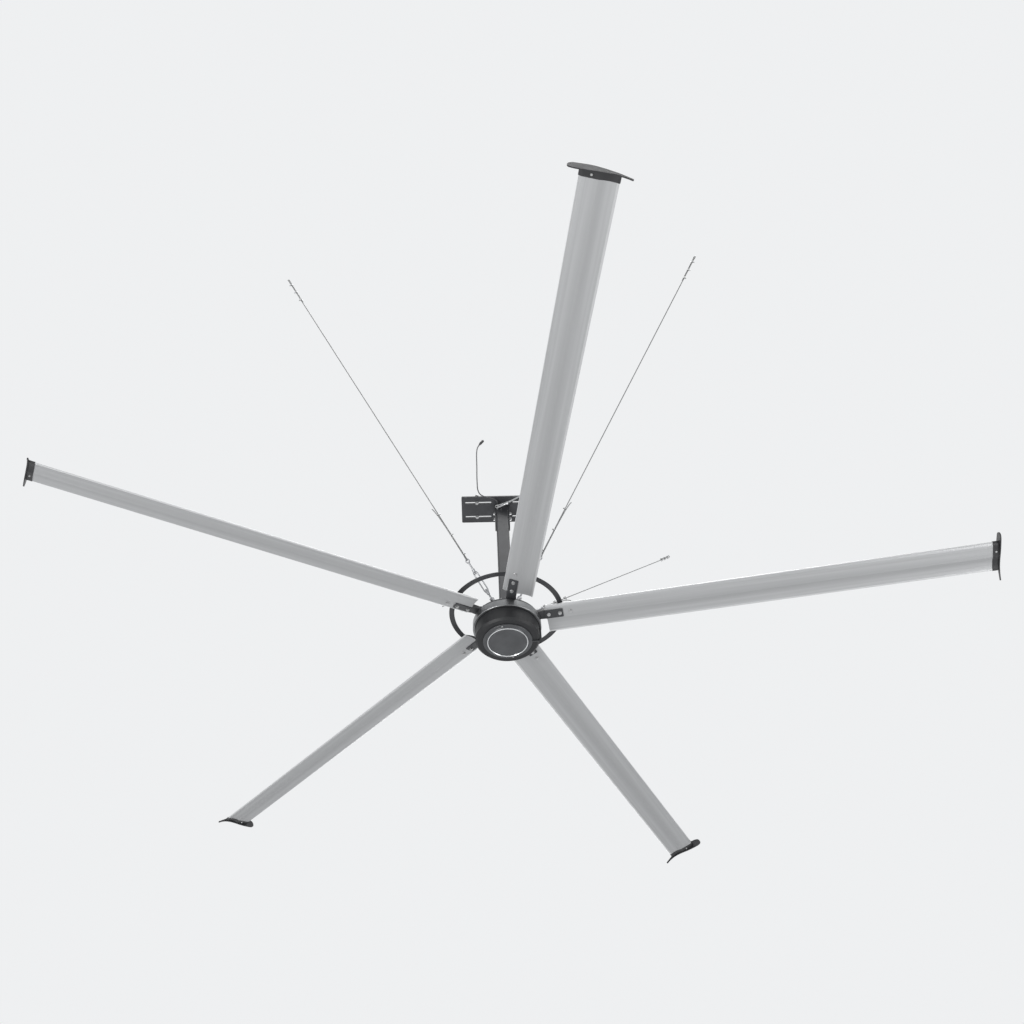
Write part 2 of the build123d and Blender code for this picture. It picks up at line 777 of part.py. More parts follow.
foot_plane = on_blade(0, blade_top, (bracket_foot_start + bracket_foot_end) / 2)
foot_middle = (bracket_foot_start + bracket_foot_end) / 2
shelf_start = ring_radius - ring_width / 2 + 2
with BuildPart() as bracket:
    with BuildSketch(Plane.XY.offset(blade_level)):
        with Locations((bracket_foot_start + bracket_sheet / 2, 0)):
            Rectangle(bracket_sheet, bracket_width)
    extrude(amount=ring_rise)
    split(bisect_by=foot_plane, keep=Keep.TOP)
    with BuildSketch(Plane.XY.offset(ring_bottom - bracket_sheet)):
        with Locations(((shelf_start + bracket_foot_start + bracket_sheet) / 2, 0)):
            Rectangle(bracket_foot_start + bracket_sheet - shelf_start, bracket_width)
        with Locations((ring_radius, -ring_bolt_spread / 2), (ring_radius, ring_bolt_spread / 2)):
            Circle(ring_bolt_diameter / 2 + 0.5, mode=Mode.SUBTRACT)
    extrude(amount=bracket_sheet)
    with BuildSketch(foot_plane):
        Rectangle(bracket_foot_end - bracket_foot_start, bracket_width)
        with Locations((bracket_bolt_station - foot_middle, 0)):
            Circle(blade_bolt_diameter / 2 + 0.5, mode=Mode.SUBTRACT)
    extrude(amount=bracket_foot_thickness)
with BuildPart() as ring_brackets:
    with Locations(*spokes):
        add(bracket.part)
save(ring_brackets.part, "ring_brackets")

ring_bolt = hex_bolt(ring_bolt_diameter, ring_thickness + bracket_sheet + ring_bolt_diameter)
ring_nut = hex_nut(ring_bolt_diameter)
with BuildPart() as ring_bolts:
    with Locations(*spokes):
        for y in (-ring_bolt_spread / 2, ring_bolt_spread / 2):
            with Locations(Location((ring_radius, y, ring_bottom + ring_thickness), (180, 0, 0))):
                add(ring_bolt)
save(ring_bolts.part, "ring_bolts")

# Blade bolts, heads below and nuts on top
thread_over = 1.15 * blade_bolt_diameter
strapped_bolt = hex_bolt(blade_bolt_diameter, blade_top - blade_bottom + strap_thickness + thread_over)
bracket_bolt = hex_bolt(blade_bolt_diameter, blade_top - blade_bottom + bracket_foot_thickness + thread_over)
blade_nut = hex_nut(blade_bolt_diameter)
with BuildPart() as blade_bolts:
    with Locations(*spokes):
        with Locations(*[on_blade(0, blade_bottom - strap_thickness, z) for z in blade_bolt_stations]):
            add(strapped_bolt)
        with Locations(on_blade(0, blade_bottom, bracket_bolt_station)):
            add(bracket_bolt)
save(blade_bolts.part, "blade_bolts")
with BuildPart() as rotor_nuts:
    with Locations(*spokes):
        with Locations(*[on_blade(0, blade_top, z) for z in blade_bolt_stations]):
            add(blade_nut)
        with Locations(on_blade(0, blade_top + bracket_foot_thickness, bracket_bolt_station)):
            add(blade_nut)
        for y in (-ring_bolt_spread / 2, ring_bolt_spread / 2):
            with Locations(Location((ring_radius, y, ring_bottom - bracket_sheet), (180, 0, 0))):
                add(ring_nut)
save(rotor_nuts.part, "rotor_nuts")

# Winglets: a collar that slips over the blade's end and a lens-shaped end plate
with BuildSketch() as end_outline:
    with BuildLine():
        crown = Spline(
            (winglet_front, -4), (winglet_front + 62, 34), (-10, 43), (winglet_back - 110, 18), (winglet_back, -27),
            tangents=((0.15, 1), (0.9, -0.42)),
        )
        tip = ThreePointArc((winglet_back, -27), (winglet_back + 4.5, -34), (winglet_back - 4, -38))
        keel = Spline(
            (winglet_back - 4, -38), (winglet_back - 110, -15), (20, -27), (winglet_front + 56, -38), (winglet_front, -4),
            tangents=((-0.9, 0.42), (0.15, 1)),
        )
    make_face()
with BuildPart() as winglet:
    with BuildSketch(blade_plane.offset(blade_tip - collar_length)):
        add(aerofoil.sketch)
        offset(amount=collar_wall, kind=Kind.ARC, mode=Mode.REPLACE)
    extrude(amount=collar_length)
    with BuildSketch(blade_plane.offset(blade_tip - collar_length)):
        add(aerofoil.sketch)
        offset(amount=collar_play, kind=Kind.ARC, mode=Mode.REPLACE)
    extrude(amount=collar_length, mode=Mode.SUBTRACT)
    with BuildSketch(blade_plane.offset(blade_tip)):
        add(end_outline.sketch)
    extrude(amount=winglet_thickness)
for number, spoke in enumerate(spokes, 1):
    with BuildPart() as placed_winglet:
        with Locations(spoke):
            add(winglet.part)
    save(placed_winglet.part, f"winglet_{number}")

with BuildPart() as screw:
    with BuildSketch(Plane.XY):
        Circle(winglet_screw_diameter)
    extrude(amount=-0.5 * winglet_screw_diameter, taper=15)
winglet_screw_station = blade_tip - collar_length / 2
with BuildPart() as winglet_screws:
    with Locations(*spokes):
        with Locations(on_blade(0, blade_bottom - collar_wall, winglet_screw_station)):
            add(screw.part)
save(winglet_screws.part, "winglet_screws")

# Plane of one guy rope at azimuth 0, from its lug pin: x is level, y points up and in, z runs along the rope
slope = radians(guy_angle)
guy_plane = Plane(
    origin=(lug_pin_radius, 0, lug_pin_level), x_dir=(0, 1, 0), z_dir=(cos(slope), 0, sin(slope))
)
side_plane = Plane(origin=guy_plane.origin, x_dir=guy_plane.z_dir, z_dir=guy_plane.x_dir)

# Turnbuckles: jaw on the lug, open body with two bars, eye end
jaw_half = lug_thickness / 2 + jaw_play + jaw_cheek
with BuildPart() as jaw:
    with BuildSketch(side_plane):
        Circle(jaw_radius)
        with Locations((jaw_end / 2, 0)):
            Rectangle(jaw_end, 2 * jaw_radius)
        Circle(pin_diameter / 2, mode=Mode.SUBTRACT)
    extrude(amount=jaw_half, both=True)
    with BuildSketch(side_plane):
        with Locations((jaw_slot_end - 50, 0)):
            Rectangle(100, 100)
    extrude(amount=lug_thickness / 2 + jaw_play, both=True, mode=Mode.SUBTRACT)
    with BuildSketch(guy_plane.offset(jaw_end)):
        Circle(screw_diameter / 2)
    extrude(amount=lower_screw_end - jaw_end)
with BuildPart() as turnbuckle_jaws:
    with Locations(*guys):
        add(jaw.part)
save(turnbuckle_jaws.part, "turnbuckle_jaws")

with BuildPart() as pin:
    with BuildSketch(side_plane):
        Circle(pin_diameter / 2)
    extrude(amount=jaw_half, both=True)
    for side in (-1, 1):
        with BuildSketch(side_plane.offset(side * jaw_half)):
            Circle(pin_diameter * 0.75)
        extrude(amount=side * 4)
with BuildPart() as jaw_pins:
    with Locations(*guys):
        add(pin.part)
save(jaw_pins.part, "jaw_pins")

with BuildPart() as body:
    for side in (-1, 1):
        with BuildLine(Plane(origin=guy_plane.origin, x_dir=guy_plane.x_dir, z_dir=-guy_plane.y_dir)) as bar_line:
            FilletPolyline(
                (side * 6, body_start + 8),
                (side * body_rod_spread, body_start + 42),
                (side * body_rod_spread, body_end - 42),
                (side * 6, body_end - 8),
                radius=40,
            )
        start = Plane(origin=bar_line.line @ 0, z_dir=bar_line.line % 0)
        with BuildSketch(start):
            Circle(body_rod_radius)
        sweep(path=bar_line.line)
    for low in (body_start, body_end - body_boss_length):
        with BuildSketch(guy_plane.offset(low)):
            Circle(body_boss_radius)
        extrude(amount=body_boss_length)
    with BuildSketch(guy_plane.offset(body_start)):
        Circle(screw_diameter / 2 + screw_clearance)
    extrude(amount=body_end - body_start, mode=Mode.SUBTRACT)
for number, guy in enumerate(guys, 1):
    with BuildPart() as turnbuckle_body:
        with Locations(guy):
            add(body.part)
    save(turnbuckle_body.part, f"turnbuckle_body_{number}")

with BuildPart() as eye:
    with BuildSketch(guy_plane.offset(upper_screw_start)):
        Circle(screw_diameter / 2)
    extrude(amount=eye_centre - eye_radius - upper_screw_start)
    with BuildSketch(side_plane):
        with Locations((eye_centre + eye_radius, 0)):
            Circle(eye_bar_radius)
    eye_axis = Axis(guy_plane.from_local_coords((0, 0, eye_centre)), guy_plane.y_dir)
    revolve(axis=eye_axis)
with BuildPart() as turnbuckle_eyes:
    with Locations(*guys):
        add(eye.part)
save(turnbuckle_eyes.part, "turnbuckle_eyes")

# Guy ropes: each goes through its turnbuckle's eye and back up a little way, with an eye at the top too
leg = (rope_diameter + leg_gap) / 2
rope_seat = eye_centre + eye_radius - eye_bar_radius - rope_diameter / 2
rope_points = [
    (lower_tail_tip[1], lower_tail_tip[0]),
    (leg, lower_tail_bend),
    (leg, rope_seat + rope_loop_taper),
    (rope_loop_half, rope_seat),
    (-rope_loop_half, rope_seat),
    (-leg, rope_seat + rope_loop_taper),
    (-leg, lower_tail_tip[0]),
    (leg, upper_tail - 40),
    (leg, rope_tip - rope_loop_taper),
    (rope_loop_half, rope_tip),
    (-rope_loop_half, rope_tip),
    (-leg, rope_tip - rope_loop_taper),
    (-leg, upper_tail),
]
guy_route = [guy_plane.from_local_coords((0, -y, z)) for y, z in rope_points]

def cord(points, diameter, tight=(), tight_radius=0, widest=5000):
    """Gives a cord's tube along straight runs joined by tangent arcs, and prints its radii and length.

    Each radius is 0.45 of the shorter run over the tangent of half the turn; the corners listed as tight
    go round a ring and have the tight radius, and no radius is over the widest.
    """
    points = [Vector(p) for p in points]
    radii = []
    with BuildPart() as tube:
        with BuildLine() as route:
            reached = points[0]
            for i in range(1, len(points) - 1):
                before = (points[i] - points[i - 1]).normalized()
                after = (points[i + 1] - points[i]).normalized()
                half_turn = radians(before.get_angle(after)) / 2
                shorter = min((points[i] - points[i - 1]).length, (points[i + 1] - points[i]).length)
                radius = tight_radius if i in tight else min(0.45 * shorter / tan(half_turn), widest)
                arc_start = points[i] - before * (radius * tan(half_turn))
                arc_end = points[i] + after * (radius * tan(half_turn))
                arc_middle = points[i] + (after - before).normalized() * (radius / cos(half_turn) - radius)
                Line(reached, arc_start)
                ThreePointArc(arc_start, arc_middle, arc_end)
                reached = arc_end
                radii.append(radius)
            Line(reached, points[-1])
        with BuildSketch(Plane(origin=points[0], z_dir=points[1] - points[0])):
            Circle(diameter / 2)
        sweep(path=route.wire())
    length = sum(edge.length for edge in route.edges())
    share = tube.part.volume / (length * pi * diameter**2 / 4)
    print("cord", round(length, 1), "mm, radii", [round(r) for r in radii], "volume share", round(share, 4))
    print("route", [tuple(round(c, 2) for c in p) for p in points])
    return tube.part


guy_rope = cord(guy_route, rope_diameter, (3, 4, 9, 10), rope_loop_radius)
for number, guy in enumerate(guys, 1):
    with BuildPart() as placed_rope:
        with Locations(guy):
            add(guy_rope)
    save(placed_rope.part, f"guy_rope_{number}")

# Rope clips: a U-bolt round the dead leg and a saddle with two nuts on the live leg
bow_radius = rope_diameter / 2 + clip_rod_radius
clip_top = leg + clip_saddle_height
with BuildPart() as clip:
    with BuildSketch(Plane.XY) as saddle:
        with Locations((0, (leg + clip_top) / 2)):
            RectangleRounded(2 * (bow_radius + clip_rod_radius + 4), clip_saddle_height, 2)
        with Locations((0, leg)):
            Circle(rope_diameter / 2, mode=Mode.SUBTRACT)
    extrude(saddle.sketch, amount=clip_saddle_width / 2, both=True)
    with BuildLine() as u_line:
        Line((bow_radius, clip_top + 9), (bow_radius, -leg))
        ThreePointArc((bow_radius, -leg), (0, -leg - bow_radius), (-bow_radius, -leg))
        Line((-bow_radius, -leg), (-bow_radius, clip_top + 9))
    with BuildSketch(Plane(origin=u_line.line @ 0, z_dir=u_line.line % 0)):
        Circle(clip_rod_radius)
    sweep(path=u_line.line)
    with BuildSketch(Plane.XZ.offset(-clip_top)):
        with Locations((bow_radius, 0), (-bow_radius, 0)):
            RegularPolygon(clip_nut_flats / 2, 6, major_radius=False)
    extrude(amount=-6)
with BuildPart() as rope_clips:
    with Locations(*guys):
        for z in lower_clips:
            origin = guy_plane.from_local_coords((0, 0, z))
            with Locations(Plane(origin=origin, x_dir=guy_plane.x_dir, z_dir=guy_plane.z_dir)):
                add(clip.part)
        for z in upper_clips:
            origin = guy_plane.from_local_coords((0, 0, z))
            with Locations(Plane(origin=origin, x_dir=-guy_plane.x_dir, z_dir=guy_plane.z_dir)):
                add(clip.part)
save(rope_clips.part, "rope_clips")

# Power cable with its gland on the down-rod and a connector at its upper end
gland_seat = Plane(origin=(gland_place[0], -rod_half, gland_place[1]), x_dir=(1, 0, 0), z_dir=(0, -1, 0))
with BuildPart() as cable_gland:
    with BuildSketch(gland_seat):
        RegularPolygon(gland_radius, 6, major_radius=True)
    extrude(amount=0.3 * gland_length)
    with BuildSketch(gland_seat.offset(0.3 * gland_length)):
        Circle(0.85 * gland_radius)
    extrude(amount=0.7 * gland_length, taper=7)
    with BuildSketch(gland_seat.offset(-rod_wall)):
        Circle(gland_radius - 3)
    extrude(amount=rod_wall)
    with BuildSketch(gland_seat.offset(-rod_wall)):
        Circle(power_diameter / 2)
    extrude(amount=gland_length + rod_wall, mode=Mode.SUBTRACT)
save(cable_gland.part, "cable_gland")

power_cable = cord(power_route, power_diameter)
save(power_cable, "power_cable")

cable_end = Vector(power_route[-1])
connector_seat = Plane(origin=cable_end, z_dir=cable_end - Vector(power_route[-2]))
with BuildPart() as power_connector:
    with BuildSketch(connector_seat.offset(-0.35 * connector_length)):
        Circle(0.7 * connector_radius)
    with BuildSketch(connector_seat):
        Circle(connector_radius)
    loft()
    with BuildSketch(connector_seat):
        Circle(connector_radius)
    extrude(amount=0.65 * connector_length)
    with BuildSketch(connector_seat.offset(-0.35 * connector_length)):
        Circle(power_diameter / 2)
    extrude(amount=0.35 * connector_length, mode=Mode.SUBTRACT)
save(power_connector.part, "power_connector")

# Safety rope: an eye bolt in the down-rod, a pressed eye at each end and a shackle at the upper one
eye_seat = Plane(origin=(safety_eye[0], -rod_half, safety_eye[1]), x_dir=(1, 0, 0), z_dir=(0, -1, 0))
ring_centre = Vector(safety_eye[0], -rod_half - safety_eye_reach, safety_eye[1])
with BuildPart() as safety_eye_bolt:
    with BuildSketch(eye_seat.offset(-2 * rod_wall)):
        Circle(safety_ring_bar)
    extrude(amount=2 * rod_wall + safety_eye_reach - safety_ring_radius)
    with BuildSketch(eye_seat):
        Circle(1.9 * safety_ring_bar)
    extrude(amount=4)
    with BuildSketch(Plane(origin=ring_centre, x_dir=(1, 0, 0), z_dir=(0, -1, 0))):
        with Locations((safety_ring_radius, 0)):
            Circle(safety_ring_bar)
    revolve(axis=Axis(ring_centre, (0, 0, 1)))
save(safety_eye_bolt.part, "safety_eye_bolt")

# Each eye of the safety rope lies in an upright plane: x runs along the rope away from its ring, y up
up = Vector(0, 0, 1)
safety_loop = safety_ring_bar + safety_diameter / 2
safety_leg = safety_diameter / 2 + 0.2
seat_along = safety_ring_radius - safety_loop
loop_half = safety_loop + 2
away = (Vector(safety_waypoints[0]) - ring_centre).cross(up).normalized()
lower_eye = Plane(origin=ring_centre, x_dir=up.cross(away), z_dir=away)
rope_end = Vector(safety_waypoints[-1])
climb = Vector(safety_waypoints[-2]) - rope_end
rope_end_plane = Plane(origin=rope_end, x_dir=climb, z_dir=climb.cross(up))
upper_eye = Plane(
    origin=rope_end_plane.from_local_coords((-safety_eye_length, -safety_leg)), x_dir=climb, z_dir=climb.cross(up)
)
eye_outline = [
    (safety_eye_length - 12, -safety_leg),
    (safety_leg_start, -safety_leg),
    (seat_along, -loop_half),
    (seat_along, loop_half),
    (safety_leg_start, safety_leg),
]
safety_points = [lower_eye.from_local_coords(p) for p in eye_outline]
safety_points += [Vector(p) for p in safety_waypoints[:-1]]
safety_points += [upper_eye.from_local_coords(p) for p in reversed(eye_outline)]
last = len(safety_points) - 1
safety_rope = cord(safety_points, safety_diameter, (2, 3, last - 3, last - 2), safety_loop + 0.15, safety_bend)
save(safety_rope, "safety_rope")

with BuildPart() as safety_fittings:
    for eye_plane in (lower_eye, upper_eye):
        ferrule_plane = Plane(
            origin=eye_plane.from_local_coords((safety_ferrule_start, 0)),
            x_dir=eye_plane.y_dir,
            z_dir=eye_plane.x_dir,
        )
        with BuildSketch(ferrule_plane):
            SlotOverall(4 * safety_leg + 5, safety_diameter + 5)
            SlotOverall(4 * safety_leg - 0.4, safety_diameter, mode=Mode.SUBTRACT)
        extrude(amount=safety_eye_length - safety_ferrule_start)
    with BuildLine(Plane(origin=upper_eye.origin, x_dir=upper_eye.x_dir, z_dir=upper_eye.y_dir)) as bow:
        Line((-shackle_length, -safety_ring_radius), (0, -safety_ring_radius))
        ThreePointArc((0, -safety_ring_radius), (safety_ring_radius, 0), (0, safety_ring_radius))
        Line((0, safety_ring_radius), (-shackle_length, safety_ring_radius))
    with BuildSketch(Plane(origin=bow.line @ 0, z_dir=bow.line % 0)):
        Circle(safety_ring_bar)
    sweep(path=bow.line)
    pin_middle = upper_eye.from_local_coords((-shackle_length, 0))
    with BuildSketch(Plane(origin=pin_middle, z_dir=upper_eye.z_dir)):
        Circle(safety_ring_bar + 2)
    extrude(amount=safety_ring_radius + 12, both=True)
save(safety_fittings.part, "safety_fittings")
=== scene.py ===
"""Large five-bladed ceiling fan: finishes, ropes, cable, threads, weld beads, lamps and camera."""

import logging
from dataclasses import dataclass, field
from enum import Enum
from math import cos, pi, radians, sin
from typing import Any, Callable

import bmesh
import bpy
from mathutils import Matrix, Vector

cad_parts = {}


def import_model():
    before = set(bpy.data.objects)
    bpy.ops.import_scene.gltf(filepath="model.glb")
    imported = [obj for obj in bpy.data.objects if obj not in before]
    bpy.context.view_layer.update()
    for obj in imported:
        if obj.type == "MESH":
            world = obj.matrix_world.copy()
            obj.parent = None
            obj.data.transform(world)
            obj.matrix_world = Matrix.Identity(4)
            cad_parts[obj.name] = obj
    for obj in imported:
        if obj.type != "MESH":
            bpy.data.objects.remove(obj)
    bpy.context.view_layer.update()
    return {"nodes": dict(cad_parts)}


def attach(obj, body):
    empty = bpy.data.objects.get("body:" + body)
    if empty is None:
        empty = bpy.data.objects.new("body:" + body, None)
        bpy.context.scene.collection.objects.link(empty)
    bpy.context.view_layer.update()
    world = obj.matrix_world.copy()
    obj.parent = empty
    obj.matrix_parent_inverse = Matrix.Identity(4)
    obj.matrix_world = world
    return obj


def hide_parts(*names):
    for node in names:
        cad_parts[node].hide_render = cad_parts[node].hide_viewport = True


log = logging.getLogger("ceiling_fan")
Point = tuple[float, float, float]
Colour = tuple[float, float, float]

# Lengths are in metres and angles in degrees, in the row frame: the ceiling's face is at 0 and z points up.
BLADE_LEVEL = -1.325
FIRST_BLADE = -82.6
BLADE_COUNT = 5
FIRST_GUY = -47.2
GUY_COUNT = 4
HANGER = "hanger"
UP = Vector((0, 0, 1))
BLADE_CENTRE = Vector((0, 0, BLADE_LEVEL))
PALE_BACKDROP = (0.86, 0.87, 0.88, 1.0)
SORTING_LINE = Vector((1.0, 0.731, 0.517))


class Slot(Enum):
    """Names of the record's material slots, passed to the thread pieces but not used."""

    BLACK_COAT = "black_coat"
    ZINC = "zinc_fasteners"
    GALVANISED = "galvanised_steel"
    WIRE_ROPE = "wire_rope"
    CABLE_SHEATH = "cable_sheath"
    ROPE_SHEATH = "rope_sheath"


# Shader maths


class Signal:
    """A number or vector on a node's socket, with Python's arithmetic for numbers."""

    def __init__(self, nodes: "Nodes", made: bpy.types.Node, output: Any) -> None:
        """Keeps the nodes, one of them and its output, if it has any."""
        self.nodes = nodes
        self.made = made
        self.socket = made.outputs[output] if made.outputs else None

    def _maths(self, operation: str, *operands: Any) -> "Signal":
        """Adds one Math node.

        Args:
            operation: the Math node's operation.
            operands: its inputs in order, signals or numbers.

        Returns:
            The node's result.
        """
        return self.nodes.node("ShaderNodeMath", dict(enumerate(operands)), operation=operation)

    def __add__(self, other: Any) -> "Signal":
        """Sum."""
        return self._maths("ADD", self, other)

    __radd__ = __add__

    def __sub__(self, other: Any) -> "Signal":
        """Difference."""
        return self._maths("SUBTRACT", self, other)

    def __rsub__(self, other: Any) -> "Signal":
        """Reflected difference."""
        return self._maths("SUBTRACT", other, self)

    def __mul__(self, other: Any) -> "Signal":
        """Product."""
        return self._maths("MULTIPLY", self, other)

    __rmul__ = __mul__

    def __abs__(self) -> "Signal":
        """Absolute value."""
        return self._maths("ABSOLUTE", self)

    def largest(self, other: Any) -> "Signal":
        """The larger of two values."""
        return self._maths("MAXIMUM", self, other)

    def sine(self) -> "Signal":
        """Sine of a value in radians."""
        return self._maths("SINE", self)

    def step(self, low: float, high: float) -> "Signal":
        """Rises smoothly from 0 at low to 1 at high, or falls where high is the lower.

        Args:
            low: the value that gives 0.
            high: the value that gives 1.

        Returns:
            The eased mask.
        """
        inputs = {"Value": self, "From Min": low, "From Max": high}
        return self.nodes.node("ShaderNodeMapRange", inputs, interpolation_type="SMOOTHSTEP")


class Nodes:
    """Adds and links the nodes of one material or world."""

    def __init__(self, owner: bpy.types.Material | bpy.types.World) -> None:
        """Empties the owner's node tree."""
        owner.use_nodes = True
        self.tree = owner.node_tree
        self.tree.nodes.clear()

    def plug(self, socket: bpy.types.NodeSocket, value: Any) -> None:
        """Links a signal to a socket, or sets the socket's own value.

        Args:
            socket: the input.
            value: signal or constant.
        """
        if isinstance(value, Signal):
            self.tree.links.new(value.socket, socket)
        else:
            socket.default_value = value

    def node(self, kind: str, inputs: dict[Any, Any], output: Any = 0, **settings: Any) -> Signal:
        """Adds any node.

        Args:
            kind: the node's type.
            inputs: socket name or number to a value or signal.
            output: name or number of the socket that is handed back.
            settings: the node's properties, set before its sockets.

        Returns:
            The chosen output.
        """
        made = self.tree.nodes.new(kind)
        for key, value in settings.items():
            setattr(made, key, value)
        for key, value in inputs.items():
            self.plug(made.inputs[key], value)
        return Signal(self, made, output)

    def looked_at(self) -> Signal:
        """Tells the rays of the camera, mirrors and glass from those that only carry light.

        Returns:
            1 on the rays that look, 0 on the others.
        """
        rays = ("Is Camera Ray", "Is Glossy Ray", "Is Transmission Ray")
        camera, mirrored, through = (self.node("ShaderNodeLightPath", {}, ray) for ray in rays)
        return camera.largest(mirrored).largest(through)


class Shader(Nodes):
    """Builds one material's nodes."""

    def __init__(self, name: str) -> None:
        """Starts an empty material with a Principled shader."""
        self.material = bpy.data.materials.new(name)
        super().__init__(self.material)
        self.surface = self.node("ShaderNodeBsdfPrincipled", {})
        self.output = self.node("ShaderNodeOutputMaterial", {"Surface": self.surface})

    def place(self) -> Signal:
        """Object coordinates, in metres."""
        return self.node("ShaderNodeTexCoord", {}, "Object")

    def along(self, direction: Vector, origin: Vector) -> Signal:
        """Distance along a fixed direction from a point, in metres.

        Args:
            direction: unit vector in the row frame.
            origin: the point where the distance is 0.

        Returns:
            The distance.
        """
        inputs = {0: self.place(), 1: tuple(direction)}
        dot = self.node("ShaderNodeVectorMath", inputs, "Value", operation="DOT_PRODUCT")
        return dot - direction.dot(origin)

    def from_axis(self) -> Signal:
        """Distance from the motor's axis, in metres."""
        flat = self.node("ShaderNodeVectorMath", {0: self.place(), 1: (1.0, 1.0, 0.0)}, operation="MULTIPLY")
        return self.node("ShaderNodeVectorMath", {0: flat}, "Value", operation="LENGTH")

    def noise(self, scale: float, detail: float = 3.0) -> Signal:
        """Fractal noise between 0 and 1 on Object coordinates.

        Args:
            scale: features per metre.
            detail: octaves.

        Returns:
            The noise.
        """
        return self.node("ShaderNodeTexNoise", {"Vector": self.place(), "Scale": scale, "Detail": detail})

    def drawn_noise(self, across: Signal, through: Signal, along: Signal, detail: float = 3.0) -> Signal:
        """Fractal noise in a piece's own directions, each already scaled to features.

        Args:
            across: place across the piece.
            through: place through its thickness.
            along: place along its length.
            detail: octaves.

        Returns:
            The noise.
        """
        place = self.node("ShaderNodeCombineXYZ", {0: across, 1: through, 2: along})
        return self.node("ShaderNodeTexNoise", {"Vector": place, "Scale": 1.0, "Detail": detail})

    def mix(self, factor: Any, first: Any, second: Any) -> Signal:
        """Mixes two colours.

        Args:
            factor: 0 gives the first and 1 the second.
            first: colour or signal.
            second: colour or signal.

        Returns:
            The mixed colour.
        """
        colours = [(*value, 1.0) if isinstance(value, tuple) else value for value in (first, second)]
        return self.node("ShaderNodeMix", {0: factor, 6: colours[0], 7: colours[1]}, 2, data_type="RGBA")

    def relief(self, height: Signal, depth: float, strength: float = 1.0) -> None:
        """Feeds the Principled shader's Normal from a height signal.

        Args:
            height: height, 0 to 1.
            depth: height of 1 in metres.
            strength: share of the bump that is used.
        """
        normal = self.node("ShaderNodeBump", {"Height": height, "Distance": depth, "Strength": strength})
        self.plug(self.surface.made.inputs["Normal"], normal)

    def finish(self, colour: Any, roughness: Any, metallic: Any, **constants: Any) -> bpy.types.Material:
        """Sets the Principled shader and hands the material back.

        Args:
            colour: base colour, a tuple or signal.
            roughness: number or signal.
            metallic: number or signal.
            constants: further sockets by name, with spaces as underscores.

        Returns:
            The finished material.
        """
        sockets = self.surface.made.inputs
        self.plug(sockets["Base Color"], (*colour, 1.0) if isinstance(colour, tuple) else colour)
        self.plug(sockets["Roughness"], roughness)
        self.plug(sockets["Metallic"], metallic)
        for name, value in constants.items():
            self.plug(sockets[name.replace("_", " ")], value)
        return self.material


def scaled(colour: Colour, share: float) -> Colour:
    """Multiplies a colour's channels by a share."""
    return colour[0] * share, colour[1] * share, colour[2] * share


# Finishes: depths of relief are in metres, scales in features for each metre


@dataclass(frozen=True)
class Finish:
    """Looks of one material.

    Attributes:
        name: name of the material.
    """

    name: str

    def make(self) -> bpy.types.Material:
        """Builds the material."""
        raise NotImplementedError


@dataclass(frozen=True)
class PowderCoat(Finish):
    """Satin powder coat with fine orange peel and a little dust on what faces up."""

    colour: Colour = (0.03, 0.031, 0.034)
    roughness: float = 0.42
    dust: float = 0.35
    dust_colour: Colour = (0.22, 0.215, 0.2)
    clear_coat: float = 0.12
    peel_scale: float = 900.0
    peel_depth: float = 0.00004
    cloud_scale: float = 7.0
    cloud_tone: float = 1.5

    def make(self) -> bpy.types.Material:
        """Builds the material.

        Returns:
            The material.
        """
        shader = Shader(self.name)
        peel = shader.noise(self.peel_scale, 2.0)
        cloud = shader.noise(self.cloud_scale, 4.0)
        facing = shader.node("ShaderNodeNewGeometry", {}, "Normal")
        inputs = {0: facing, 1: tuple(UP)}
        upward = shader.node("ShaderNodeVectorMath", inputs, "Value", operation="DOT_PRODUCT")
        settled = upward.step(0.5, 0.95) * cloud.step(0.35, 0.7) * self.dust
        tone = shader.mix(cloud.step(0.3, 0.75), self.colour, scaled(self.colour, self.cloud_tone))
        shader.relief(peel, self.peel_depth, 0.6)
        return shader.finish(
            shader.mix(settled, tone, self.dust_colour),
            self.roughness + (cloud - 0.5) * 0.16 + settled * 0.4,
            0.0,
            Coat_Roughness=0.25,
            Coat_Weight=self.clear_coat,
        )


@dataclass(frozen=True)
class CastCoat(Finish):
    """Coat over a sand-cast surface."""

    colour: Colour
    grain_scale: float = 420.0
    grain_depth: float = 0.00022
    cloud_scale: float = 16.0
    cloud_tone: float = 1.7

    def tone(self, shader: Shader, cloud: Signal) -> Signal:
        """Colour of the casting, a little paler in clouds."""
        return shader.mix(cloud.step(0.35, 0.7), self.colour, scaled(self.colour, self.cloud_tone))

    def make(self) -> bpy.types.Material:
        """Builds the material.

        Returns:
            The material.
        """
        shader = Shader(self.name)
        grain = shader.noise(self.grain_scale, 5.0)
        cloud = shader.noise(self.cloud_scale, 4.0)
        shader.relief(grain, self.grain_depth, 0.7)
        tone = self.tone(shader, cloud)
        return shader.finish(tone, 0.5 + (grain - 0.5) * 0.2, 0.0, Specular_IOR_Level=0.45)


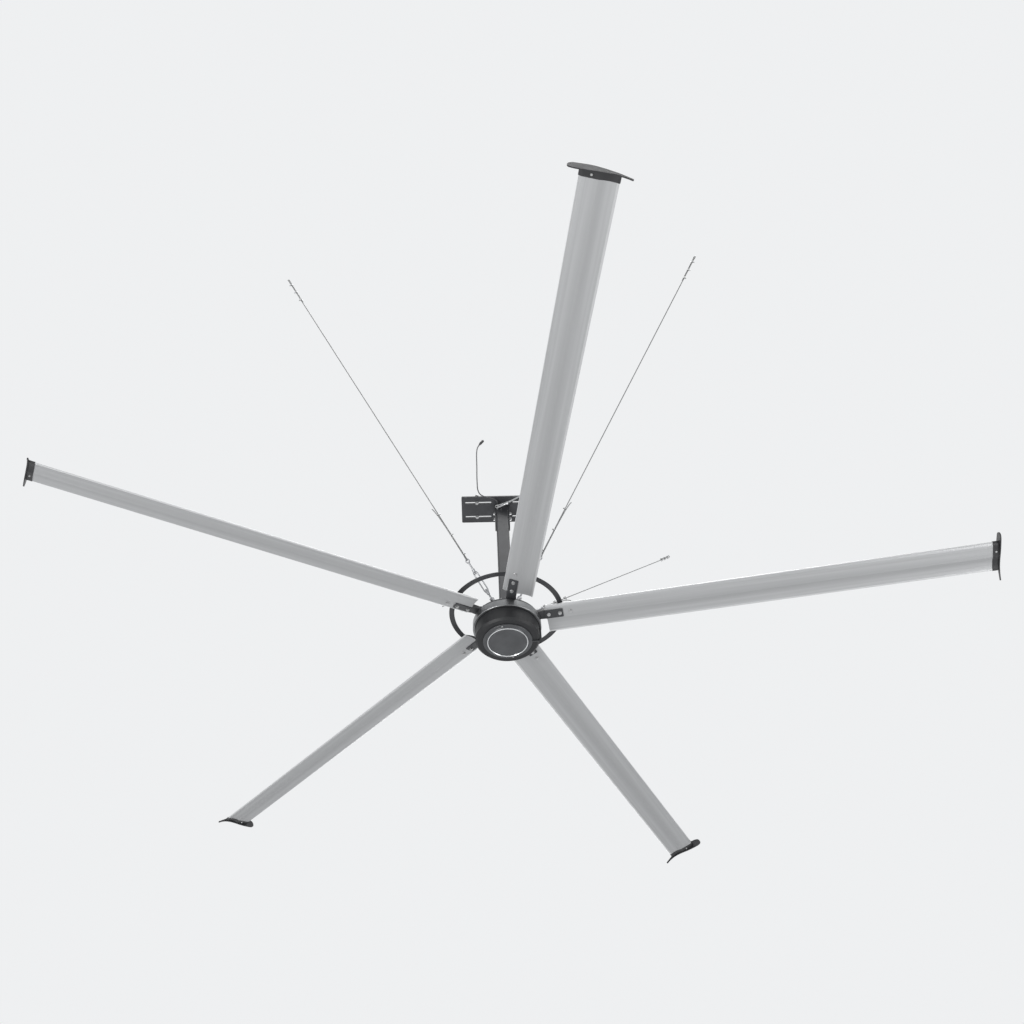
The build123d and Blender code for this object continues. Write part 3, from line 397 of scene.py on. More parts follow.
@dataclass(frozen=True)
class FinnedCoat(CastCoat):
    """Coat of the motor's bell, with painted shade keeping the valleys dark and a painted highlight on the
    fins' crowns and lower edges.

    Attributes:
        crown_highlight_colour: painted highlight colour of the fins' outer faces and lower edges.
        valley_radius: radius from which the fins turn paler.
        crown_radius: radius from which they are fully pale.
        valley_level: level, seen from the blades, from which the fins' lower edges turn paler.
        crown_level: level from which they are fully pale.
    """

    crown_highlight_colour: Colour = (0.1, 0.102, 0.108)
    valley_radius: float = 0.2475
    crown_radius: float = 0.257
    valley_level: float = -0.2335
    crown_level: float = -0.238

    def tone(self, shader: Shader, cloud: Signal) -> Signal:
        """Colour of the fins, with a painted highlight on their crowns and lower edges.

        Args:
            shader: the material.
            cloud: soft noise that makes the painted highlight uneven.

        Returns:
            The colour.
        """
        # Painted highlight: the fins' outer faces and lower edges turn paler, and the valleys keep the dark
        # coat as painted shade.
        outside = shader.from_axis().step(self.valley_radius, self.crown_radius)
        under = shader.along(UP, BLADE_CENTRE).step(self.valley_level, self.crown_level)
        highlight_mask = outside + under * (1 - outside)
        return shader.mix(highlight_mask * (0.7 + cloud * 0.5), self.colour, self.crown_highlight_colour)


@dataclass(frozen=True)
class ZincPlate(Finish):
    """Zinc plate with faint clouding, for bolts, nuts and clips."""

    colour: Colour = (0.56, 0.565, 0.575)
    cloud_colour: Colour = (0.42, 0.42, 0.41)
    roughness: float = 0.34
    cloud_scale: float = 120.0
    scuff_scale: float = 900.0
    scuff_depth: float = 0.00002

    def make(self) -> bpy.types.Material:
        """Builds the material.

        Returns:
            The material.
        """
        shader = Shader(self.name)
        cloud = shader.noise(self.cloud_scale, 4.0)
        scuff = shader.noise(self.scuff_scale, 2.0)
        tone = shader.mix(cloud.step(0.3, 0.75), self.colour, self.cloud_colour)
        shader.relief(scuff, self.scuff_depth, 0.5)
        return shader.finish(tone, self.roughness + (cloud - 0.4) * 0.25, 1.0)


@dataclass(frozen=True)
class Galvanised(Finish):
    """Hot-dip zinc with its crystal patches, for the turnbuckles."""

    colour: Colour = (0.5, 0.505, 0.515)
    patch_colour: Colour = (0.38, 0.385, 0.4)
    grime_colour: Colour = (0.24, 0.23, 0.215)
    patch_scale: float = 170.0
    patch_depth: float = 0.0001
    cloud_scale: float = 45.0

    def make(self) -> bpy.types.Material:
        """Builds the material.

        Returns:
            The material.
        """
        shader = Shader(self.name)
        inputs = {"Vector": shader.place(), "Scale": self.patch_scale, "Randomness": 1.0}
        patch = shader.node("ShaderNodeTexVoronoi", inputs, "Distance")
        cloud = shader.noise(self.cloud_scale, 4.0)
        tone = shader.mix(patch.step(0.1, 0.75), self.colour, self.patch_colour)
        grimed = shader.mix(cloud.step(0.52, 0.8) * 0.45, tone, self.grime_colour)
        shader.relief(patch, self.patch_depth, 0.4)
        return shader.finish(grimed, 0.36 + patch * 0.25, 1.0)


@dataclass(frozen=True)
class SatinMetal(Finish):
    """Turned or brushed bare metal with rings of fine marks about the motor's axis."""

    colour: Colour
    roughness: float = 0.3
    marks_per_metre: float = 2600.0
    mark_depth: float = 0.000015
    cloud_scale: float = 30.0
    cloud_tone: float = 0.8

    def make(self) -> bpy.types.Material:
        """Builds the material.

        Returns:
            The material.
        """
        shader = Shader(self.name)
        level = shader.along(UP, BLADE_CENTRE)
        marks = ((level + shader.from_axis()) * self.marks_per_metre).sine() * 0.5 + 0.5
        cloud = shader.noise(self.cloud_scale, 4.0)
        shader.relief(marks, self.mark_depth, 0.5)
        tone = shader.mix(cloud.step(0.3, 0.8), self.colour, scaled(self.colour, self.cloud_tone))
        return shader.finish(tone, self.roughness + (cloud - 0.5) * 0.2 + marks * 0.05, 1.0)


@dataclass(frozen=True)
class BladeSkin(Finish):
    """Satin anodised extrusion with a painted shade band along the middle of its underside and painted
    highlights along its edges.

    Attributes:
        azimuth: the blade's direction from the hub.
        pitch: its tilt about its span.
        droop: its fall towards the tip.
        band_centre: the middle of the painted shade band, along the chord.
        band_reach: distance from the middle at which the band ends.
        band_core: distance from the middle up to which it is even.
    """

    azimuth: float
    colour: Colour = (0.5, 0.505, 0.512)
    band_shade_colour: Colour = (0.4, 0.404, 0.41)
    edge_highlight_colour: Colour = (0.76, 0.765, 0.77)
    dust_colour: Colour = (0.3, 0.29, 0.27)
    pitch: float = 15.8
    droop: float = 0.57
    band_centre: float = 0.048
    band_reach: float = 0.06
    band_core: float = 0.02
    grain_depth: float = 0.000008

    def axes(self) -> tuple[Vector, Vector, Vector]:
        """Works out how this blade lies.

        Returns:
            Directions of the chord, the thickness and the span.
        """
        turn = Matrix.Rotation(radians(self.azimuth), 3, "Z")
        droop, pitch = radians(self.droop), radians(self.pitch)
        span = Vector((cos(droop), 0, -sin(droop)))
        upright = Vector((sin(droop), 0, cos(droop)))
        across = Vector((0, 1, 0))
        chord = across * cos(pitch) - upright * sin(pitch)
        rise = upright * cos(pitch) + across * sin(pitch)
        return turn @ chord, turn @ rise, turn @ span

    def make(self) -> bpy.types.Material:
        """Builds the material.

        Returns:
            The material.
        """
        shader = Shader(self.name)
        chord, rise, span = (shader.along(axis, BLADE_CENTRE) for axis in self.axes())
        grain = shader.drawn_noise(chord * 420.0, rise * 420.0, span * 1.6)
        drawn = shader.drawn_noise(chord * 45.0, rise * 10.0, span * 0.7, 2.0)
        below = rise.step(0.004, -0.004)
        # Painted shade: a darker band along the middle of the concave underside.
        band = abs(chord - self.band_centre).step(self.band_reach, self.band_core) * below
        # Painted highlight: pale lines along the leading and trailing edges.
        edge = chord.step(0.146, 0.151) + chord.step(-0.067, -0.072)
        dusty = shader.noise(3.0, 5.0).step(0.45, 0.8)
        base = shader.mix(drawn.step(0.3, 0.7), scaled(self.colour, 0.9), self.colour)
        shade_banded = shader.mix(band * 0.6, base, self.band_shade_colour)
        highlight_edged = shader.mix(edge * 0.6, shade_banded, self.edge_highlight_colour)
        toned = shader.mix(dusty * (1 - below) * 0.3, highlight_edged, self.dust_colour)
        shader.relief(grain, self.grain_depth, 0.6)
        rough = 0.42 + (grain - 0.5) * 0.1 + band * 0.06 - edge * 0.12
        return shader.finish(toned, rough, 0.55, Specular_IOR_Level=0.4)


@dataclass(frozen=True)
class Moulded(Finish):
    """Moulded plastic or rubber with a fine spark-eroded texture."""

    colour: Colour
    roughness: float = 0.5
    texture: float = 1100.0
    depth: float = 0.00005
    cloud_scale: float = 18.0
    cloud_tone: float = 1.35

    def make(self) -> bpy.types.Material:
        """Builds the material.

        Returns:
            The material.
        """
        shader = Shader(self.name)
        spark = shader.noise(self.texture, 3.0)
        cloud = shader.noise(self.cloud_scale, 4.0)
        shader.relief(spark, self.depth, 0.7)
        tone = shader.mix(cloud.step(0.35, 0.75), self.colour, scaled(self.colour, self.cloud_tone))
        return shader.finish(tone, self.roughness + (cloud - 0.5) * 0.2 + (spark - 0.5) * 0.1, 0.0)


@dataclass(frozen=True)
class Strands(Finish):
    """Weathered steel wires of a rope, paler on their crowns and dull in their hollows."""

    colour: Colour = (0.34, 0.345, 0.35)
    hollow_colour: Colour = (0.22, 0.22, 0.215)
    weather_colour: Colour = (0.24, 0.235, 0.22)
    wire_scale: float = 1600.0
    wire_depth: float = 0.0001
    cloud_scale: float = 25.0

    def make(self) -> bpy.types.Material:
        """Builds the material.

        Returns:
            The material.
        """
        shader = Shader(self.name)
        wires = shader.noise(self.wire_scale, 2.0)
        cloud = shader.noise(self.cloud_scale, 4.0)
        tone = shader.mix(wires.step(0.3, 0.65), self.hollow_colour, self.colour)
        weathered = shader.mix(cloud.step(0.5, 0.8) * 0.4, tone, self.weather_colour)
        shader.relief(wires, self.wire_depth, 0.4)
        return shader.finish(weathered, 0.5 + (cloud - 0.5) * 0.15, 0.4)


@dataclass(frozen=True)
class Layers(Finish):
    """Stacked sheets or wound wire, shown as fine bands up the motor's axis."""

    colour: Colour
    gap_colour: Colour
    bands_per_metre: float
    roughness: float = 0.4
    metallic: float = 0.9
    band_depth: float = 0.0003
    cloud_scale: float = 60.0

    def make(self) -> bpy.types.Material:
        """Builds the material.

        Returns:
            The material.
        """
        shader = Shader(self.name)
        level = shader.along(UP, BLADE_CENTRE)
        wave = (level * (2 * pi * self.bands_per_metre)).sine() * 0.5 + 0.5
        cloud = shader.noise(self.cloud_scale, 4.0)
        shader.relief(wave, self.band_depth, 0.7)
        tone = shader.mix(wave.step(0.0, 0.45), self.gap_colour, self.colour)
        shaded = shader.mix(cloud.step(0.4, 0.8) * 0.3, tone, self.gap_colour)
        return shader.finish(shaded, self.roughness + (cloud - 0.5) * 0.15, self.metallic)


@dataclass(frozen=True)
class WeldMetal(Finish):
    """Weld bead under the black coat."""

    colour: Colour = (0.028, 0.029, 0.031)
    crest_colour: Colour = (0.05, 0.051, 0.055)
    grain_scale: float = 300.0
    grain_depth: float = 0.0002

    def make(self) -> bpy.types.Material:
        """Builds the material.

        Returns:
            The material.
        """
        shader = Shader(self.name)
        grain = shader.noise(self.grain_scale, 4.0)
        shader.relief(grain, self.grain_depth, 0.6)
        tone = shader.mix(grain.step(0.35, 0.7), self.colour, self.crest_colour)
        return shader.finish(tone, 0.4 + (grain - 0.5) * 0.2, 0.0)


FASTENER_ZINC = ZincPlate("zinc plated fasteners")
TURNBUCKLE_ZINC = Galvanised("galvanised turnbuckle")


@dataclass
class PaintShop:
    """Every finish, made once, and which CAD node gets which."""

    made: dict[str, bpy.types.Material] = field(default_factory=dict)

    def of(self, finish: Finish) -> bpy.types.Material:
        """Makes a finish the first time that it is asked for.

        Args:
            finish: the finish.

        Returns:
            Its material.
        """
        if finish.name not in self.made:
            self.made[finish.name] = finish.make()
        return self.made[finish.name]

    def plan(self) -> dict[str, Finish]:
        """Lists the finishes of the CAD nodes that aren't zinc-plated fasteners.

        Returns:
            Node names and finishes.
        """
        coat = PowderCoat("black powder coat")
        bearing = SatinMetal("ground bearing steel", (0.75, 0.75, 0.76), 0.16, 4000.0)
        copper = Layers("copper windings", (0.62, 0.28, 0.1), (0.2, 0.07, 0.02), 500.0, 0.35, 0.8)
        winglet = Moulded("winglet plastic", (0.022, 0.022, 0.024), 0.42, 700.0, 0.00008)
        plan: dict[str, Finish] = {
            "ceiling_bracket": PowderCoat("bracket coat", (0.04, 0.041, 0.045), 0.46, 0.25),
            "down_rod": PowderCoat("down-rod coat", (0.035, 0.036, 0.039), 0.4, 0.0),
            "rod_foot": coat,
            "guy_plate": coat,
            "hub_disc": PowderCoat("hub coat", (0.03, 0.031, 0.034), 0.38, 0.3),
            "blade_arms": PowderCoat("arm coat", (0.034, 0.035, 0.038), 0.4, 0.25),
            "blade_straps": coat,
            "safety_ring": PowderCoat("ring coat", (0.032, 0.033, 0.036), 0.4, 0.3),
            "ring_brackets": coat,
            "motor_bell": FinnedCoat("finned bell coat", (0.013, 0.0135, 0.015)),
            "motor_band": SatinMetal("satin motor band", (0.3, 0.305, 0.31), 0.34),
            "cover_plate": PowderCoat("cover coat", (0.05, 0.052, 0.056), 0.33, 0.0),
            "cover_rim": SatinMetal("bright cover rim", (0.82, 0.83, 0.84), 0.2),
            "stator_shaft": SatinMetal("turned shaft", (0.5, 0.5, 0.5), 0.3),
            "stator_hub": CastCoat("stator hub casting", (0.2, 0.2, 0.205)),
            "stator_core": Layers("stator sheets", (0.42, 0.42, 0.43), (0.1, 0.1, 0.11), 1000.0),
            "rotor_yoke": SatinMetal("yoke steel", (0.3, 0.3, 0.31), 0.4),
            "rotor_magnets": SatinMetal("plated magnets", (0.5, 0.5, 0.52), 0.25),
            "stator_windings": copper,
            "turnbuckle_jaws": TURNBUCKLE_ZINC,
            "turnbuckle_eyes": TURNBUCKLE_ZINC,
            "cable_gland": Moulded("gland plastic", (0.03, 0.03, 0.032), 0.42),
            "power_connector": Moulded("connector plastic", (0.03, 0.03, 0.032), 0.38),
        }
        for side in ("upper", "lower"):
            plan[f"{side}_bearing_inner"] = plan[f"{side}_bearing_outer"] = bearing
        for number in range(1, BLADE_COUNT + 1):
            azimuth = FIRST_BLADE + (number - 1) * 360 / BLADE_COUNT
            plan[f"blade_{number}"] = BladeSkin(f"blade {number} anodised skin", azimuth)
            plan[f"winglet_{number}"] = winglet
        for number in range(1, GUY_COUNT + 1):
            plan[f"turnbuckle_body_{number}"] = TURNBUCKLE_ZINC
        return plan

    def dress(self, nodes: dict[str, bpy.types.Object]) -> None:
        """Gives each CAD node its finish.

        Args:
            nodes: CAD node names and objects.
        """
        plan = self.plan()
        for name, made in nodes.items():
            finish = plan.get(name, FASTENER_ZINC)
            self.paint(made, self.of(finish))
            log.info("finish of %s: %s", name, finish.name)

    def paint(self, made: bpy.types.Object, material: bpy.types.Material) -> None:
        """Puts a material in every slot of an object.

        Args:
            made: the object.
            material: its material.
        """
        if not made.material_slots:
            made.data.materials.append(material)
        for slot in made.material_slots:
            slot.material = material


# Mesh work


@dataclass(frozen=True)
class Section:
    """Cross-section of a rope, cable or bead that is swept along a line.

    Attributes:
        radius: outer radius.
        sides: corners round the section.
        lobes: depth of the hollows between strands, as a share of the radius.
        lay: length in which the strands turn once, 0 for none.
        ripple: depth of the ripple along the line, as a share of the radius.
        ripple_pitch: length of one ripple.
    """

    radius: float
    sides: int
    lobes: float = 0.0
    lay: float = 0.0
    ripple: float = 0.0
    ripple_pitch: float = 0.006


def smooth_line(name: str, points: tuple[Point, ...]) -> list[Vector]:
    """Reads a route's own smooth line.

    Args:
        name: name of the throwaway curve.
        points: the route's points.

    Returns:
        Points on the quadratic NURBS line of the route.
    """
    curve = bpy.data.curves.new(name, "CURVE")
    curve.dimensions = "3D"
    curve.resolution_u = 40
    spline = curve.splines.new("NURBS")
    spline.points.add(len(points) - 1)
    for target, point in zip(spline.points, points):
        target.co = (*point, 1.0)
    spline.order_u = 3
    spline.use_endpoint_u = True
    holder = bpy.data.objects.new(name, curve)
    mesh = bpy.data.meshes.new_from_object(holder)
    line = [vertex.co.copy() for vertex in mesh.vertices]
    bpy.data.objects.remove(holder)
    bpy.data.curves.remove(curve)
    bpy.data.meshes.remove(mesh)
    return line


def even_line(line: list[Vector], step: float) -> list[Vector]:
    """Spaces points evenly along a line.

    Args:
        line: the line's points.
        step: wanted spacing.

    Returns:
        Points with the same ends, a little under the wanted spacing apart.
    """
    total = sum((b - a).length for a, b in zip(line, line[1:]))
    count = max(2, int(total / step) + 1)
    spaced, walked, index = [line[0].copy()], 0.0, 0
    for number in range(1, count):
        wanted = total * number / count
        while walked + (line[index + 1] - line[index]).length < wanted:
            walked += (line[index + 1] - line[index]).length
            index += 1
        run = line[index + 1] - line[index]
        spaced.append(line[index] + run * ((wanted - walked) / run.length))
    spaced.append(line[-1].copy())
    return spaced


def frames_along(line: list[Vector], section: Section, closed: bool = False) -> list[Matrix]:
    """Gives a steady frame at each point of a line, twisted by the section's lay.

    Args:
        line: evenly spaced points.
        section: the swept section.
        closed: whether the last point runs on to the first.

    Returns:
        One matrix for each point, z along the line.
    """
    tangents = []
    for i in range(len(line)):
        before = line[i - 1] if i or closed else line[i]
        after = line[(i + 1) % len(line)] if i + 1 < len(line) or closed else line[i]
        tangents.append((after - before).normalized())
    side = tangents[0].orthogonal().normalized()
    frames, walked = [], 0.0
    for i, (point, tangent) in enumerate(zip(line, tangents)):
        if i:
            side = (tangents[i - 1].rotation_difference(tangent) @ side).normalized()
            walked += (point - line[i - 1]).length
        turn = Matrix.Rotation(2 * pi * walked / section.lay, 4, "Z") if section.lay else Matrix.Identity(4)
        swell = 1 - section.ripple * (0.5 + 0.5 * cos(2 * pi * walked / section.ripple_pitch))
        basis = Matrix((side, tangent.cross(side), tangent)).transposed().to_4x4()
        frames.append(Matrix.Translation(point) @ basis @ turn @ Matrix.Diagonal((swell, swell, 1, 1)))
    return frames


def sweep(mesh: bmesh.types.BMesh, line: list[Vector], section: Section, closed: bool = False) -> None:
    """Sweeps a section along a line into a mesh.

    Args:
        mesh: the mesh that takes it.
        line: evenly spaced points.
        section: the section.
        closed: whether the last ring joins the first.
    """
    frames = frames_along(line, section, closed)
    circle = bmesh.ops.create_circle(mesh, segments=section.sides, radius=section.radius, matrix=frames[0])
    ring = circle["verts"]
    for vertex in ring[1::2]:
        vertex.co = frames[0].translation.lerp(vertex.co, 1 - section.lobes)
    first = list(dict.fromkeys(edge for vertex in ring for edge in vertex.link_edges))
    edges = first
    for before, after in zip(frames, frames[1:]):
        grown = bmesh.ops.extrude_edge_only(mesh, edges=edges)["geom"]
        edges = [item for item in grown if isinstance(item, bmesh.types.BMEdge) and item.is_boundary]
        verts = list(dict.fromkeys(vertex for edge in edges for vertex in edge.verts))
        bmesh.ops.transform(mesh, matrix=after @ before.inverted(), verts=verts)
    if closed:
        bmesh.ops.bridge_loops(mesh, edges=first + edges)
    else:
        bmesh.ops.holes_fill(mesh, edges=first + edges, sides=0)


def settle(work: bmesh.types.BMesh) -> None:
    """Turns every face outwards, shades the swept ones smooth and puts all in the same order in every run.

    Args:
        work: the mesh.
    """
    bmesh.ops.recalc_face_normals(work, faces=work.faces)
    for face in work.faces:
        face.smooth = len(face.verts) == 4
    work.verts.sort(key=lambda vertex: vertex.co.dot(SORTING_LINE))
    work.edges.sort(key=lambda edge: (edge.verts[0].co + edge.verts[1].co).dot(SORTING_LINE))
    work.faces.sort(key=lambda face: face.calc_center_median().dot(SORTING_LINE))


def mount(name: str, data: bpy.types.Mesh) -> bpy.types.Object:
    """Puts a finished mesh on the fan's hanger.

    Args:
        name: the piece's name.
        data: its mesh, in place.

    Returns:
        The object, at the origin.
    """
    made = bpy.data.objects.new(name, data)
    bpy.context.collection.objects.link(made)
    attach(made, HANGER)
    log.info("piece %s: %d faces", name, len(data.polygons))
    return made


def piece(
    name: str, build: Callable[[bmesh.types.BMesh], None], material: bpy.types.Material
) -> bpy.types.Object:
    """Makes one piece of the fan's hanger from mesh code.

    Args:
        name: the piece's name.
        build: fills an empty mesh.
        material: its finish.

    Returns:
        The object, at the origin.
    """
    work = bmesh.new()
    build(work)
    settle(work)
    data = bpy.data.meshes.new(name)
    work.to_mesh(data)
    work.free()
    data.materials.append(material)
    return mount(name, data)


# Ropes and cable


@dataclass(frozen=True)
class Cord:
    """Rope or cable of one length that is swept along its route.

    Attributes:
        length: length from end to end.
        spacing: distance between the swept rings.
        section: the swept section.
        finish: looks of its outside.
        route: its points, as the part's source has them.
    """

    length: float
    spacing: float
    section: Section
    finish: Finish
    route: tuple[Point, ...]

    def line(self, name: str) -> list[Vector]:
        """Evenly spaced points on the route's smooth line."""
        return even_line(smooth_line(name, self.route), self.spacing)


@dataclass(frozen=True)
class GuyRopes(Cord):
    """Four taut wire ropes, each through its turnbuckle's eye and clipped back on itself.

    The route is that of a rope along +X.
    """

    length: float = 3.675
    spacing: float = 0.0032
    section: Section = Section(0.004, sides=12, lobes=0.2, lay=0.05)
    finish: Finish = Strands("rope wires")
    route: tuple[Point, ...] = (
        (0.78385, 0.0, -0.61716),
        (0.73384, 0.0, -0.62274),
        (0.43417, 0.0, -0.92833),
        (0.41705, 0.0, -0.95635),
        (0.40048, 0.0, -0.94011),
        (0.42817, 0.0, -0.92244),
        (0.75515, 0.0, -0.58901),
        (2.23848, 0.0, 0.91161),
        (2.41703, 0.0, 1.09368),
        (2.44471, 0.0, 1.11134),
        (2.42815, 0.0, 1.12759),
        (2.41103, 0.0, 1.09956),
        (2.26048, 0.0, 0.94604),
    )

    def build(self, shop: PaintShop, nodes: dict[str, bpy.types.Object]) -> None:
        """Makes one rope with its strands and turns copies of it to each azimuth.

        Args:
            shop: the finishes.
            nodes: not used.
        """
        line = self.line("wire_rope")
        work = bmesh.new()
        sweep(work, line, self.section)
        settle(work)
        for number in range(1, GUY_COUNT + 1):
            name = f"wire_rope_{number}"
            turn = Matrix.Rotation(radians(FIRST_GUY + (number - 1) * 360 / GUY_COUNT), 4, "Z")
            data = bpy.data.meshes.new(name)
            work.to_mesh(data)
            data.transform(turn)
            data.materials.append(shop.of(self.finish))
            made = mount(name, data)
            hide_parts(f"guy_rope_{number}")
            tuple(turn @ line[0])
            [tuple(turn @ point) for point in line]
        work.free()


@dataclass(frozen=True)
class SafetyRope(Cord):
    """Thick sheathed rope from the down-rod's eye bolt up to its shackle."""

    length: float = 0.725
    spacing: float = 0.003
    section: Section = Section(0.007, sides=16, lobes=0.07, lay=0.09)
    finish: Finish = Moulded("rope sheath", (0.42, 0.425, 0.43), 0.3, 500.0, 0.00006)
    route: tuple[Point, ...] = (
        (0.0432, -0.11356, -0.0692),
        (0.00659, -0.09745, -0.0692),
        (-0.03825, -0.07771, -0.076),
        (-0.03825, -0.07771, -0.048),
        (0.00659, -0.09745, -0.0548),
        (0.076, -0.128, -0.0548),
        (0.171, -0.16, -0.016),
        (0.257, -0.18, 0.028),
        (0.37385, -0.1912, 0.10163),
        (0.41157, -0.19482, 0.13343),
        (0.42638, -0.19624, 0.10971),
        (0.38147, -0.19194, 0.08943),
        (0.34774, -0.1887, 0.06818),
    )

    def build(self, shop: PaintShop, nodes: dict[str, bpy.types.Object]) -> None:
        """Makes the rope.

        Args:
            shop: the finishes.
            nodes: not used.
        """
        line = self.line("sheathed_rope")

        def fill(work: bmesh.types.BMesh) -> None:
            """Sweeps the rope."""
            sweep(work, line, self.section)

        made = piece("sheathed_rope", fill, shop.of(self.finish))
        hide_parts("safety_rope")


@dataclass(frozen=True)
class PowerCable(Cord):
    """Thin dark mains cable from the gland up beside the down-rod to its connector."""

    length: float = 0.958
    spacing: float = 0.004
    section: Section = Section(0.005, sides=16)
    finish: Finish = Moulded("cable sheath", (0.06, 0.06, 0.063), 0.45, 900.0)
    route: tuple[Point, ...] = (
        (-0.033, -0.047, -0.03),
        (-0.033, -0.104, -0.03),
        (-0.074, -0.139, -0.028),
        (-0.136, -0.153, -0.028),
        (-0.192, -0.17, -0.008),
        (-0.209, -0.177, 0.052),
        (-0.211, -0.179, 0.115),
        (-0.213, -0.18, 0.235),
        (-0.2115, -0.1805, 0.365),
        (-0.213, -0.18, 0.495),
        (-0.211, -0.18, 0.6),
        (-0.2, -0.18, 0.665),
        (-0.173, -0.18, 0.712),
    )

    def build(self, shop: PaintShop, nodes: dict[str, bpy.types.Object]) -> None:
        """Makes the cable.

        Args:
            shop: the finishes.
            nodes: not used.
        """
        line = self.line("mains_cable")

        def fill(work: bmesh.types.BMesh) -> None:
            """Sweeps the cable."""
            sweep(work, line, self.section)

        made = piece("mains_cable", fill, shop.of(self.finish))
        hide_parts("power_cable")


# Threads and welds


@dataclass(frozen=True)
class Thread:
    """Screw thread on one stretch of a shank.

    Attributes:
        origin: a point on the shank's axis.
        axis: the shank's direction.
        low: start of the stretch along the axis.
        high: end of the stretch.
        radius: the shank's radius.
        pitch: distance between ridges.
        foot: radius of the ridge's foot, as a share of the shank's.
        crest: radius of the ridge's crest, as a share of the shank's.
        flank: half the ridge's width, as a share of the pitch.
        steps_per_turn: facets in one turn.
    """

    origin: Vector
    axis: Vector
    low: float
    high: float
    radius: float
    pitch: float = 0.0035
    foot: float = 0.97
    crest: float = 1.06
    flank: float = 0.36
    steps_per_turn: int = 12

    def cut(self, work: bmesh.types.BMesh) -> None:
        """Adds the thread's ridge to a mesh.

        Args:
            work: the mesh.
        """
        turns = (self.high - self.low) / self.pitch
        side = self.axis.orthogonal().normalized()
        start = self.origin + self.axis * self.low
        half = self.pitch * self.flank
        corners = [
            start + side * (self.radius * self.foot) - self.axis * half,
            start + side * (self.radius * self.crest),
            start + side * (self.radius * self.foot) + self.axis * half,
        ]
        face = work.faces.new([work.verts.new(corner) for corner in corners])
        steps = max(8, int(turns * self.steps_per_turn))
        bmesh.ops.spin(
            work,
            geom=[face],
            cent=start,
            axis=self.axis,
            dvec=self.axis * (self.pitch * turns / steps),
            angle=2 * pi * turns,
            steps=steps,
            use_merge=False,
        )


@dataclass
class Threads:
    """Threads that show: ceiling bolts and the turnbuckles' screws.

    Attributes:
        stud_x: half the ceiling bolts' spacing along the bracket.
        stud_y: half their spacing across it.
        stud_stretches: where a bolt's threads start and end, above the ceiling's face.
        lug_radius: distance of the turnbuckles' lower pins from the axis.
        lug_rise: height of the pins above the blades.
        screw_stretches: where the screws' threads start and end, from the lower pin.
    """

    stud_x: float = 0.217
    stud_y: float = 0.08
    stud_radius: float = 0.008
    stud_stretches: tuple[tuple[float, float], ...] = ((0.003, 0.07), (0.0875, 0.0905))
    lug_radius: float = 0.135
    lug_rise: float = 0.0976
    guy_slope: float = 45.56
    screw_radius: float = 0.007
    screw_stretches: tuple[tuple[float, float], ...] = (
        (0.038, 0.066),
        (0.099, 0.116),
        (0.258, 0.277),
        (0.31, 0.357),
    )

    def studs(self) -> list[Thread]:
        """Threads of the four ceiling bolts."""
        return [
            Thread(Vector((x, y, 0)), UP, low, high, self.stud_radius)
            for x in (-self.stud_x, self.stud_x)
            for y in (-self.stud_y, self.stud_y)
            for low, high in self.stud_stretches
        ]

    def screws(self) -> list[Thread]:
        """Works out the threads of the turnbuckles' screws.

        Returns:
            The threads of all four turnbuckles.
        """
        slope = radians(self.guy_slope)
        threads = []
        for number in range(GUY_COUNT):
            turn = Matrix.Rotation(radians(FIRST_GUY + number * 360 / GUY_COUNT), 3, "Z")
            origin = turn @ Vector((self.lug_radius, 0, BLADE_LEVEL + self.lug_rise))
            axis = turn @ Vector((cos(slope), 0, sin(slope)))
            for low, high in self.screw_stretches:
                threads.append(Thread(origin, axis, low, high, self.screw_radius))
        return threads

    def add(self, name: str, threads: list[Thread], material: bpy.types.Material, slot: Slot) -> None:
        """Makes one piece of several threads.

        Args:
            name: the piece's name.
            threads: its threads.
            material: its finish.
            slot: not used.
        """

        def fill(work: bmesh.types.BMesh) -> None:
            """Cuts every thread."""
            for thread in threads:
                thread.cut(work)

        piece(name, fill, material)

    def build(self, shop: PaintShop) -> None:
        """Makes the threads of the bolts and of the screws."""
        self.add("stud_threads", self.studs(), shop.of(FASTENER_ZINC), Slot.ZINC)
        self.add("screw_threads", self.screws(), shop.of(TURNBUCKLE_ZINC), Slot.GALVANISED)


